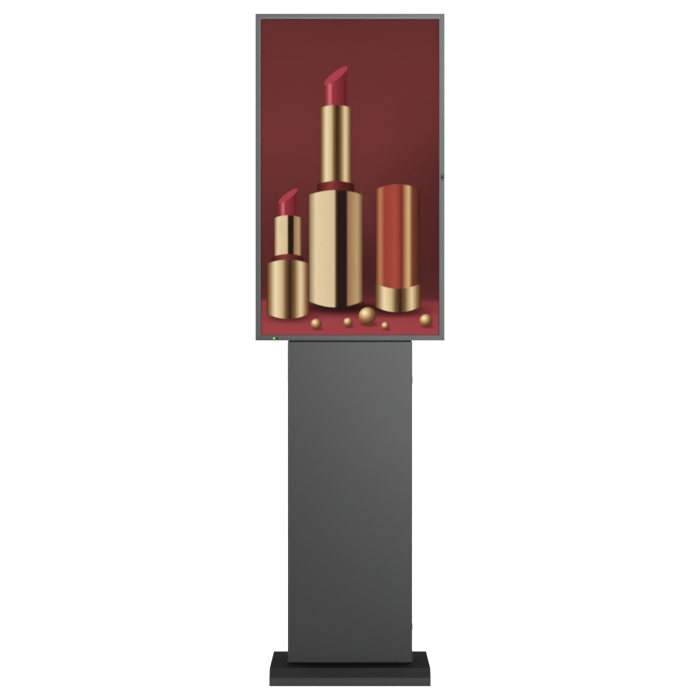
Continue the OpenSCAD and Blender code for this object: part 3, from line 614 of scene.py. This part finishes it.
def lathe(bm, axis, centre, profile, sides=32):
    """Solid of revolution; its profile of (along, radius) starts and ends on the axis."""
    rows = []
    for along, radius in profile:
        if radius == 0:
            rows.append([bm.verts.new([c * MM for c in point(axis, along, *centre)])])
            continue
        rows.append([bm.verts.new([c * MM for c in point(
            axis, along, centre[0] + radius * math.cos(k * math.tau / sides),
            centre[1] + radius * math.sin(k * math.tau / sides))]) for k in range(sides)])
    for low, high in zip(rows, rows[1:]):
        for k in range(sides):
            n = (k + 1) % sides
            quad = low[k % len(low)], low[n % len(low)], high[n % len(high)], high[k % len(high)]
            bm.faces.new(list(dict.fromkeys(quad)))


def eased(points, radius, steps=8):
    """Route through the points with every corner drawn as a smooth bend."""
    points = [Vector(p) for p in points]
    out = [points[0]]
    for before, at, after in zip(points, points[1:], points[2:]):
        a = at + (before - at).normalized() * min(radius, (before - at).length / 2)
        b = at + (after - at).normalized() * min(radius, (after - at).length / 2)
        for k in range(steps + 1):
            t = k / steps
            out.append(a.lerp(at, t).lerp(at.lerp(b, t), t))
    return out + [points[-1]]


def tube(bm, route, radius, sides=14):
    """Round cable along a route, with closed ends."""
    rings = []
    side = (route[1] - route[0]).orthogonal().normalized()
    for i, at in enumerate(route):
        way = (route[min(i + 1, len(route) - 1)] - route[max(i - 1, 0)]).normalized()
        side = (side - way * side.dot(way)).normalized()
        other = way.cross(side)
        turns = [k * math.tau / sides for k in range(sides)]
        rings.append([bm.verts.new((at + (side * math.cos(a) + other * math.sin(a)) * radius) * MM)
                      for a in turns])
    for low, high in zip(rings, rings[1:]):
        for k in range(sides):
            n = (k + 1) % sides
            bm.faces.new([low[k], low[n], high[n], high[k]])
    bm.faces.new(rings[0])
    bm.faces.new(rings[-1][::-1])


# profile of a screw head as shares of its rise and radius: skirt, dome and round socket
SCREW_PROFILE = ((-0.1, 0), (-0.1, 1), (0.45, 1), (0.9, 0.78), (1, 0.5), (0.94, 0.42),
                 (0.35, 0.38), (0.35, 0))


def screws(bm, xs, zs, seat, rise, radius):
    """Screw heads at every crossing of xs and zs, on a face across y; rise is signed."""
    for x in xs:
        for z in zs:
            lathe(bm, "y", (x, z), [(seat + rise * a, radius * r) for a, r in SCREW_PROFILE], 20)


def rounded(box, radius, steps=5):
    """Outline of a rectangle (u0, u1, v0, v1) with round corners."""
    u0, u1, v0, v1 = box
    out = []
    for cu, cv, start in ((u1 - radius, v1 - radius, 0), (u0 + radius, v1 - radius, 90),
                          (u0 + radius, v0 + radius, 180), (u1 - radius, v0 + radius, 270)):
        for k in range(steps + 1):
            a = math.radians(start + 90 * k / steps)
            out.append((cu + radius * math.cos(a), cv + radius * math.sin(a)))
    return out


def finish_mesh(name, bm, look, body, width=0.0, segments=2):
    """Turns a bmesh into an object that rides a body, with its edges rounded."""
    mesh = bpy.data.meshes.new(name)
    bm.to_mesh(mesh)
    bm.free()
    mesh.shade_smooth()
    mesh.set_sharp_from_angle(angle=SMOOTH_BELOW)
    for mat in look if isinstance(look, tuple) else (look,):
        mesh.materials.append(mat)
    obj = bpy.data.objects.new(name, mesh)
    bpy.context.collection.objects.link(obj)
    if width:
        mod = obj.modifiers.new("rounding", "BEVEL")
        mod.width = width * MM
        mod.segments = segments
        mod.limit_method = "ANGLE"
        mod.angle_limit = SMOOTH_BELOW
        mod.use_clamp_overlap = False
        mod.harden_normals = True
    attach(obj, body)
    return obj


def piece(name, bm, look, body="stand", width=0.0, segments=2):
    """Finishes a mesh that was built here, after turning its faces outwards."""
    bmesh.ops.recalc_face_normals(bm, faces=bm.faces)
    return finish_mesh(name, bm, look, body, width, segments)


def refined(node, look, width, tone=None):
    """Copy of a CAD node with clean flats and rounded edges, shown in its place."""
    bm = bmesh.new()
    bm.from_mesh(NODES[node].data)
    bmesh.ops.remove_doubles(bm, verts=bm.verts, dist=1e-6)
    bmesh.ops.dissolve_limit(bm, angle_limit=FLAT_WITHIN, verts=bm.verts, edges=bm.edges)
    if tone:
        for face in bm.faces:
            face.material_index = tone(face)
    obj = finish_mesh(node + "_skin", bm, look, BODY[node], width)
    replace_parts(obj, node)


def dress(node, mat):
    """Gives a carried-over CAD node a material."""
    obj = NODES[node]
    obj.data.materials.clear()
    obj.data.materials.append(mat)


# ---------------------------------------------------------------- looks

column_paint = powder_coat("column_paint", (0.085, 0.086, 0.087))
# the base's paint in three copies: the slope and the level top get darker copies, painted shade for
# the weak light they receive; the darkest copy also paints the shade in the band under the head
base_light = powder_coat("base_light", (0.08, 0.081, 0.082))
base_slope_painted_shade = powder_coat("base_slope_painted_shade", (0.064, 0.064, 0.065), rough=0.6)
painted_shade_dark = powder_coat("painted_shade_dark", (0.022, 0.022, 0.023), rough=0.62, gloss=0.1)
head_paint = powder_coat("head_paint", (0.07, 0.07, 0.072))
# near-black paint on the column's foot flange: painted shade for the dark gap under the column
flange_painted_shade = powder_coat("flange_painted_shade", (0.012, 0.012, 0.012), rough=0.7, gloss=0.2)
plate_paint = powder_coat("plate_paint", (0.045, 0.045, 0.047), rough=0.6, grain=700)

UPRIGHT = (900, 900, 12)  # noise scales that draw the lines along z
LEVEL = (12, 900, 900)    # the same along x
frame_tall = satin_metal("frame_tall", (0.12, 0.121, 0.12), UPRIGHT)
frame_wide = satin_metal("frame_wide", (0.12, 0.121, 0.12), LEVEL)
# lighter, slightly teal copies of the frame's metal for the bevel at the glass: a painted highlight
bevel_tall_painted_highlight = satin_metal("bevel_tall_painted_highlight", (0.2, 0.215, 0.21), UPRIGHT)
bevel_wide_painted_highlight = satin_metal("bevel_wide_painted_highlight", (0.2, 0.215, 0.21), LEVEL)

zinc = plated_steel("zinc", (0.62, 0.64, 0.66, 1))
nickel = plated_steel("nickel", (0.72, 0.7, 0.66, 1), rough=0.2)
brass = plated_steel("brass", (0.75, 0.62, 0.34, 1), rough=0.22)
dark_chrome = plated_steel("dark_chrome", (0.17, 0.17, 0.175, 1), rough=0.42)

black = moulded("black_plastic", (0.018, 0.018, 0.02))
grey_plastic = moulded("grey_plastic", (0.075, 0.076, 0.075), rough=0.6)
bezel_grey = moulded("bezel_grey", (0.05, 0.051, 0.051), rough=0.6)
rubber = moulded("rubber", (0.015, 0.015, 0.015), rough=0.7)
foam = moulded("foam", (0.012, 0.012, 0.013), rough=0.9, grain=900)
white_mark = moulded("white_mark", (0.7, 0.7, 0.7), rough=0.6)
white_sheet = moulded("diffuser", (0.8, 0.8, 0.78), rough=0.5)
# near black for the printed border round the picture, and painted shade for the slots of the power
# strip's sockets
dark_window = moulded("dark_window", (0.012, 0.012, 0.013), rough=0.45)
lens_black = moulded("lens_black", (0.006, 0.006, 0.007), rough=0.5, gloss=0.15)
panel_dark = moulded("panel", (0.01, 0.01, 0.01), rough=0.4)

red_switch = lamp_material("red_switch", (0.55, 0.02, 0.01, 1), 0.25)
green_lamp = lamp_material("green_lamp", (0.22, 1.0, 0.05, 1), 1.3)
board = circuit_board("circuit_board")
glass = clear_glass("cover_glass", (0.985, 0.995, 0.99, 1))
film = clear_film("sensor_film")


# ---------------------------------------------------------------- the CAD's own parts

# look, width of the rounded edges, nodes
SKINS = [
    (column_paint, 0.5, ["top_cap", "door_panel"]),
    (column_paint, 0.4, ["rear_panel"]),
    (head_paint, 0.6, ["rear_cover"]),
    (head_paint, 0.4, ["wall_bracket", "hook_rails"]),
    (plate_paint, 0.8, ["base_plate"]),
    # the flange is painted near black as the shadow in the gap under the column
    (flange_painted_shade, 0.5, ["column_flange"]),
    (zinc, 0.5, ["column_frame", "panel_chassis", "lock_nuts"]),
    (zinc, 0.3, ["cover_screws", "column_bolts", "bracket_bolts", "rail_screws", "panel_screws",
                 "lock_keepers", "equipment_plate", "hinge_leaves_fixed", "hinge_leaves_door",
                 "hinge_pins", "corner_brackets"]),
    (zinc, 0.0, ["fan_guard"]),
    (nickel, 0.3, ["player_button", "lock_cam_upper", "lock_cam_lower"]),
    (dark_chrome, 0.5, ["lock_bodies"]),
    (brass, 0.2, ["inlet_pins"]),
    (black, 0.5, ["power_inlet", "rocker", "fan_frame", "media_player",
                  "key_power", "key_up", "key_down"]),
    (black, 0.3, ["fan_rotor"]),
    (black, 0.9, ["power_strip", "speakers"]),
    (rubber, 0.6, ["foot_front_left", "foot_front_right", "foot_rear_left", "foot_rear_right"]),
    (board, 0.2, ["main_board", "power_board", "keypad_board"]),
    (bezel_grey, 0.3, ["sensor_bezel"]),
    (lens_black, 0.2, ["ir_window"]),
    (green_lamp, 0.3, ["power_lamp"]),
]


def base_painted_shade_tone(face):
    """Upright faces take the first paint; the slope takes the second and level faces the third,
    darker copies of it that are painted shade where less light falls.
    """
    return 2 if face.normal.z > 0.9 else 1 if face.normal.z > 0.3 else 0


def shell_painted_shade_tone(face):
    """Painted shade: the recessed band under the head is painted darker than the rest, as shade
    falls there.
    """
    return 1 if HEAD_FOOT - SEAM < face.calc_center_median().z / MM < HEAD_FOOT else 0


def frame_painted_highlight_tone(face):
    """Painted highlight: the bevel that leads to the glass is painted lighter than the flats, as if
    it caught the light.
    """
    return 1 if -0.95 < face.normal.y < -0.5 else 0


def dress_cad():
    for look, width, nodes in SKINS:
        for node in nodes:
            refined(node, look, width)
    refined("base_cover", (base_light, base_slope_painted_shade, painted_shade_dark), 0.8, base_painted_shade_tone)
    refined("column_shell", (column_paint, painted_shade_dark), 0.5, shell_painted_shade_tone)
    for node, looks in (("frame_left", (frame_tall, bevel_tall_painted_highlight)),
                        ("frame_right", (frame_tall, bevel_tall_painted_highlight)),
                        ("frame_top", (frame_wide, bevel_wide_painted_highlight)),
                        ("frame_bottom", (frame_wide, bevel_wide_painted_highlight))):
        refined(node, looks, 0.25, frame_painted_highlight_tone)
    for node, look in (("cover_glass", glass), ("touch_sensor", film), ("lcd_panel", panel_dark),
                       ("diffuser", white_sheet)):
        dress(node, look)


# ---------------------------------------------------------------- pieces added to the CAD's parts

def head_front_pieces():
    """Picture, printed border, gasket, and the insides of the sensor and the remote window."""
    glass_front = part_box("cover_glass")[0].y / MM
    sensor_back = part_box("touch_sensor")[1].y / MM
    lcd_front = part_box("lcd_panel")[0].y / MM
    face = (HEAD_LEFT, HEAD_RIGHT, HEAD_FOOT, HEAD_TOP)
    half_w, half_h = PICTURE_W / 2, PICTURE_H / 2
    picture = (-half_w, half_w, HEAD_MID - half_h, HEAD_MID + half_h)
    bm = bmesh.new()
    prism(bm, "y", rounded(picture, 1.0), sensor_back + 0.02, lcd_front - 0.02)
    piece("screen_picture", bm, picture_material())
    bm = bmesh.new()
    ring(bm, "y", inset(face, 12.2), inset(picture, -0.2), sensor_back + 0.03, lcd_front - 0.03)
    piece("print_border", bm, dark_window)
    bm = bmesh.new()
    ring(bm, "y", inset(face, 15.45), inset(face, 16.5), glass_front - 0.7, glass_front)
    piece("glass_gasket", bm, rubber, width=0.2)

    lo, hi = [mm(v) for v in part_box("sensor_bezel")]
    u, front, v = (lo[0] + hi[0]) / 2, lo[1], (lo[2] + hi[2]) / 2
    bm = bmesh.new()
    prism(bm, "y", rounded((u - 3.4, u + 3.4, v - 7.9, v + 7.9), 3.39, 8), front + 0.7, front + 1.4)
    piece("sensor_insert", bm, grey_plastic, width=0.15)
    bm = bmesh.new()
    lathe(bm, "y", (u, v), [(front + 1.0, 0), (front + 1.0, 3.2), (front + 0.45, 3.2),
                            (front + 0.3, 2.8), (front + 0.1, 1.4), (front + 0.05, 0)])
    piece("sensor_lens", bm, lens_black)

    lo, hi = [mm(v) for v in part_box("ir_window")]
    u, front, v = (lo[0] + hi[0]) / 2, lo[1], (lo[2] + hi[2]) / 2
    bm = bmesh.new()
    lathe(bm, "y", (u, v), [(front + 0.3, 0), (front + 0.3, 2.7), (front - 0.05, 2.7),
                            (front - 0.2, 2.4), (front - 0.2, 1.9), (front, 1.7), (front, 0)])
    piece("ir_surround", bm, lens_black)


REAR_BEAD = (-219, 219, 1241, 1856)
PORT_PLATE = (-274, -228, 1272, 1452)
PORTS = ((17, 6, 1290), (17, 6, 1306), (14, 7, 1326), (14, 7, 1342), (17, 14, 1366))  # w, h, z
JACKS = (1394, 1414)
MARK_ASIDE = 13  # from the middle of a key to its mark


def rear_cover_details():
    """Screws and pressed bead of the head's rear cover."""
    margin, rows = 14, 7
    rise = (HEAD_TOP - HEAD_FOOT - 2 * margin) / (rows - 1)
    bm = bmesh.new()
    screws(bm, (-272, 272), [HEAD_FOOT + margin + k * rise for k in range(rows)],
           HEAD_BACK, 1.6, 3.4)
    screws(bm, (-180, -60, 60, 180), (HEAD_FOOT + 10, HEAD_TOP - 10), HEAD_BACK, 1.6, 3.4)
    piece("rear_cover_screws", bm, zinc)
    bm = bmesh.new()
    ring(bm, "y", REAR_BEAD, inset(REAR_BEAD, 9), HEAD_BACK - 0.4, HEAD_BACK + 1.2)
    piece("rear_bead", bm, head_paint, width=0.9, segments=3)


def port_pieces():
    """Plate with the head's sockets: five shells with tongues, and two jacks."""
    back = HEAD_BACK
    bm = bmesh.new()
    prism(bm, "y", rounded(PORT_PLATE, 3), back - 0.4, back + 1.2)
    piece("port_plate", bm, plate_paint, width=0.4)
    shells, mouths = bmesh.new(), bmesh.new()
    u = (PORT_PLATE[0] + PORT_PLATE[1]) / 2
    for w, h, z in PORTS:
        mouth = (u - w / 2, u + w / 2, z - h / 2, z + h / 2)
        ring(shells, "y", inset(mouth, -1), mouth, back + 1.0, back + 2.4)
        block(mouths, mouth[:2], (back + 0.8, back + 1.35), mouth[2:])
        block(mouths, inset(mouth, 2)[:2], (back + 1.35, back + 2.0), (z - 0.8, z + 0.8))
    for z in JACKS:
        lathe(shells, "y", (u, z), [(back + 1.0, 0), (back + 1.0, 5.5), (back + 3.2, 5.5),
                                    (back + 3.2, 3.4), (back + 1.6, 3.2), (back + 1.6, 0)])
    corners = inset(PORT_PLATE, 6)
    screws(shells, corners[:2], corners[2:], back + 1.2, 1.4, 2.6)
    piece("port_shells", shells, nickel, width=0.15)
    piece("port_mouths", mouths, black, width=0.1)


def key_marks():
    """Printed marks beside the keys: a circle with a bar, a plus and a minus."""
    y0, y1, y2 = HEAD_BACK - 0.1, HEAD_BACK + 0.25, HEAD_BACK + 0.3
    half, thin = 2.6, 0.4
    bm = bmesh.new()
    for key, kind in (("key_power", "ring"), ("key_up", "plus"), ("key_down", "minus")):
        lo, hi = [mm(v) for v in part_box(key)]
        u, v = (lo[0] + hi[0]) / 2 + MARK_ASIDE, (lo[2] + hi[2]) / 2
        if kind == "ring":
            mark = (u - half, u + half, v - half, v + half)
            ring(bm, "y", mark, inset(mark, 0.8), y0, y1)
            block(bm, (u - thin, u + thin), (y0, y2), (v + thin, v + half + 1))
        else:
            block(bm, (u - half, u + half), (y0, y1), (v - thin, v + thin))
        if kind == "plus":
            block(bm, (u - thin, u + thin), (y0, y2), (v - half, v + half))
    piece("key_marks", bm, white_mark, width=0.08)


def speaker_cones():
    lo, hi = [mm(v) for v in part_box("speakers")]
    y, z = hi[1], (lo[2] + hi[2]) / 2
    bm = bmesh.new()
    for x in (-205, 205):
        lathe(bm, "y", (x, z), [(y - 7.8, 0), (y - 7.8, 8), (y - 2.4, 21.6), (y - 0.6, 21.6),
                                (y - 0.6, 19.4), (y - 5.8, 8.2), (y - 4.2, 5), (y - 3.6, 0)])
    piece("speaker_cones", bm, rubber, width=0.2)


def filter_pieces(name, outer, sheet, body="stand"):
    """Dust filter on the inner side of a louvred sheet: a screwed frame around a foam mat."""
    bm = bmesh.new()
    ring(bm, "y", outer, inset(outer, 8), sheet - 3, sheet - 0.05)
    places = inset(outer, 4)
    screws(bm, (places[0], 0, places[1]), places[2:], sheet - 3, -1.6, 2.8)
    piece(name + "_frame", bm, zinc, body, width=0.3)
    bm = bmesh.new()
    prism(bm, "y", rounded(inset(outer, 7), 2), sheet - 2, sheet - 0.1)
    piece(name, bm, foam, body, width=0.3)


# half of a stiffener's section, from its middle: (across, depth)
RIB_SECTION = ((19, 0.05), (19, 1.5), (11, 1.5), (7, 9))
HINGES = (150, 525, 900)


def door_pieces():
    """Seal, stiffeners and filter inside the door, and the screws of its hinges."""
    lo, hi = [mm(v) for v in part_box("door_panel")]
    sheet = hi[1] - 2
    bm = bmesh.new()
    rim = inset((lo[0], hi[0], lo[2], hi[2]), 2.5)
    ring(bm, "y", rim, inset(rim, 8), sheet - 3, sheet - 0.05)
    piece("door_seal", bm, foam, "door", width=0.9, segments=3)
    bm = bmesh.new()
    for x in (-75, 75):
        left = [(x - u, sheet - v) for u, v in RIB_SECTION]
        right = [(x + u, sheet - v) for u, v in RIB_SECTION[::-1]]
        prism(bm, "z", left + right, 340, 930)
        for z in (360, 500, 640, 780, 910):
            for side in (-15, 15):
                lathe(bm, "y", (x + side, z), [(sheet - 1.4, 0), (sheet - 1.4, 2.4),
                                               (sheet - 2.1, 2.2), (sheet - 2.4, 1.2),
                                               (sheet - 2.4, 0)], 16)
    piece("door_ribs", bm, zinc, "door", width=0.5)
    filter_pieces("door_filter", (-138, 138, 176, 302), sheet, "door")
    for body, x, name, gaps in (("door", -157, "hinge_screws_door", (-20, 0, 20)),
                                ("stand", -179, "hinge_screws_fixed", (-20, 20))):
        bm = bmesh.new()
        screws(bm, (x,), [z + gap for z in HINGES for gap in gaps], COLUMN_BACK + 2, 0.8, 3.0)
        piece(name, bm, zinc, body)


FAN_HOLE = 52.5  # from the fan's middle to its screws
SUPPLY_RUN = ((-150, 30, 490), (-115, 30, 960))  # straight part of the head's supply lead


def column_pieces():
    """Filter, fan screws and hub, and the fixings of the plate and of the leads."""
    filter_pieces("louvre_filter", (-152, 152, 1096, 1250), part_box("rear_panel")[0].y / MM)
    lo, hi = [mm(v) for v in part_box("fan_frame")]
    u, v = (lo[0] + hi[0]) / 2, (lo[2] + hi[2]) / 2
    bm = bmesh.new()
    screws(bm, (u - FAN_HOLE, u + FAN_HOLE), (v - FAN_HOLE, v + FAN_HOLE), COLUMN_BACK, 1.8, 3.6)
    piece("fan_screws", bm, zinc)
    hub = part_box("fan_rotor")[1].y / MM
    bm = bmesh.new()
    lathe(bm, "y", (u, v), [(hub - 0.3, 0), (hub - 0.3, 16), (hub + 0.15, 16), (hub + 0.3, 15.6),
                            (hub + 0.3, 5), (hub + 0.1, 4.6), (hub + 0.1, 0)])
    piece("fan_hub_disc", bm, zinc, "fan")
    bm = bmesh.new()
    screws(bm, (-151, 151), (515, 600, 760, 845), 0, 2.4, 4.2)
    piece("plate_screws", bm, zinc)
    bm = bmesh.new()
    (x0, y, z0), (x1, _, z1) = SUPPLY_RUN
    for z in (560, 680, 800, 920):
        x = x0 + (x1 - x0) * (z - z0) / (z1 - z0)
        lathe(bm, "z", (x, y), [(z - 4, 0), (z - 4, 5.4), (z + 4, 5.4), (z + 4, 0)], 24)
        block(bm, (x - 3, x + 3), (-2, y - 4), (z - 4, z + 4))
        block(bm, (x - 7, x + 7), (-2, 0), (z - 7, z + 7))
    piece("cable_clips", bm, black, width=0.4)


def player_pieces():
    """Ears, ports and lamps of the media player."""
    lo, hi = [mm(v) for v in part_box("media_player")]
    back, foot = lo[1], lo[2]
    bm = bmesh.new()
    for u in ((-112, -95), (95, 112)):
        prism(bm, "y", rounded((*u, foot + 12, hi[2] - 12), 3), back, back + 2)
    screws(bm, (-105, 105), (foot + 28, hi[2] - 28), back + 2, 2, 3.6)
    piece("player_ears", bm, zinc, width=0.25)
    bm = bmesh.new()
    for x in (-70, -35, 0, 35):
        shell = (x + 1.5, x + 14.5, 9.5, 18.5)
        ring(bm, "z", shell, inset(shell, 1), foot - 0.6, foot + 2.9)
        block(bm, (x + 4, x + 12), (13.2, 14.8), (foot + 0.2, foot + 2.9))
    piece("player_ports", bm, nickel, width=0.15)
    bm = bmesh.new()
    for z in (744, 736):
        lathe(bm, "y", (75, z), [(33.8, 0), (33.8, 1.6), (34.5, 1.6), (34.9, 0.9), (35, 0)], 20)
    piece("player_lamps", bm, green_lamp)


def strip_pieces():
    """Sockets and lit switch of the power strip; the sockets' slots are dark patches, painted shade
    for the holes.
    """
    lo, hi = [mm(v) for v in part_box("power_strip")]
    face, mid = hi[1], (lo[2] + hi[2]) / 2
    sockets, slots = bmesh.new(), bmesh.new()
    for x in range(-120, 81, 50):
        lathe(sockets, "y", (x, mid), [(face - 3, 0), (face - 3, 16.6), (face - 1.2, 16.6),
                                       (face - 1.0, 16.2), (face - 1.0, 14.6), (face - 2.2, 14.2),
                                       (face - 2.2, 0)])
        for u, v, w, h in ((-6.5, -1, 1.1, 4.2), (6.5, -1, 1.1, 4.2), (0, 6.5, 1.4, 1.4)):
            block(slots, (x + u - w, x + u + w), (face - 2.3, face - 2.05),
                  (mid + v - h, mid + v + h))
    piece("strip_sockets", sockets, black, width=0.2)
    # dark patches on the socket faces: painted shade standing in for the slot holes
    piece("strip_slots", slots, dark_window, width=0.1)
    bm = bmesh.new()
    prism(bm, "x", [(face - 2, mid - 9), (face + 1.4, mid - 9), (face - 0.2, mid),
                    (face + 0.8, mid + 9), (face - 2, mid + 9)], 130, 148)
    piece("strip_switch", bm, red_switch, width=0.5)


BRACKET_HOLE = 1405  # height at which the leads pass into the head


def cable_pieces():
    """The leads inside the column, on the CAD's routes but with eased bends and moulded ends."""
    strip_lo, strip_hi = [mm(v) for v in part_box("power_strip")]
    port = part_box("media_player")[0].z / MM + 2.8
    inlet_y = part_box("power_inlet")[0].y / MM
    foot, top = strip_lo[2] - 0.1, strip_hi[2] + 0.1
    head_y = HEAD_BACK - 8
    bm = bmesh.new()
    mains = [(-110, inlet_y, 32), (-110, 120, 32), (0, 30, 34), (0, 30, 360), (0, 14, 380),
             (0, 14, foot)]
    tube(bm, eased(mains, 30), 4)
    lathe(bm, "z", (0, 14), [(foot - 15.9, 0), (foot - 15.9, 5), (foot - 2.9, 7.5), (foot, 7.5),
                             (foot, 0)], 24)
    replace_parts(piece("mains_cable_skin", bm, rubber), "mains_cable")
    bm = bmesh.new()
    supply = [(-150, 14, top), (-150, 14, top + 10), *SUPPLY_RUN, (32, 0, BRACKET_HOLE),
              (32, head_y, BRACKET_HOLE), (-150, head_y, HEAD_MID - 171)]
    signal = [(-27, 14, port), (-27, 14, 660), (110, 45, 660), (115, 45, 960),
              (48, 0, BRACKET_HOLE), (48, head_y, BRACKET_HOLE), (60, head_y, HEAD_MID - 66)]
    tube(bm, eased(supply, 30), 3.5)
    tube(bm, eased(signal, 26), 3.5)
    lathe(bm, "z", (-150, 14), [(top, 0), (top, 7), (top + 3, 7), (top + 9, 4.5), (top + 9, 0)], 24)
    prism(bm, "z", rounded((-33.5, -20.5, 9.8, 18.2), 1.5), port - 17, port)
    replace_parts(piece("head_harness_skin", bm, rubber, width=0.3),
                "head_harness")


def inlet_pieces():
    """Raised rims of the mains inlet and its switch, and the screws between them."""
    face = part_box("power_inlet")[1].y / MM
    bm = bmesh.new()
    for rim, width in (((-146.5, -117.5, 21.5, 42.5), 1.7), ((-110.6, -95.4, 20.5, 43.5), 1.4)):
        ring(bm, "y", rim, inset(rim, width), face - 0.2, face + 0.6)
    piece("inlet_rims", bm, black, width=0.25)
    bm = bmesh.new()
    screws(bm, (-114.2,), (38, 26), face, 0.8, 2.2)
    piece("inlet_screws", bm, zinc)


# ---------------------------------------------------------------- build

make_camera()
make_lights()
make_backdrop()
make_floor()
dress_cad()
head_front_pieces()
rear_cover_details()
port_pieces()
key_marks()
speaker_cones()
door_pieces()
column_pieces()
player_pieces()
strip_pieces()
cable_pieces()
inlet_pieces()

bpy.context.scene.view_settings.view_transform = "Standard"
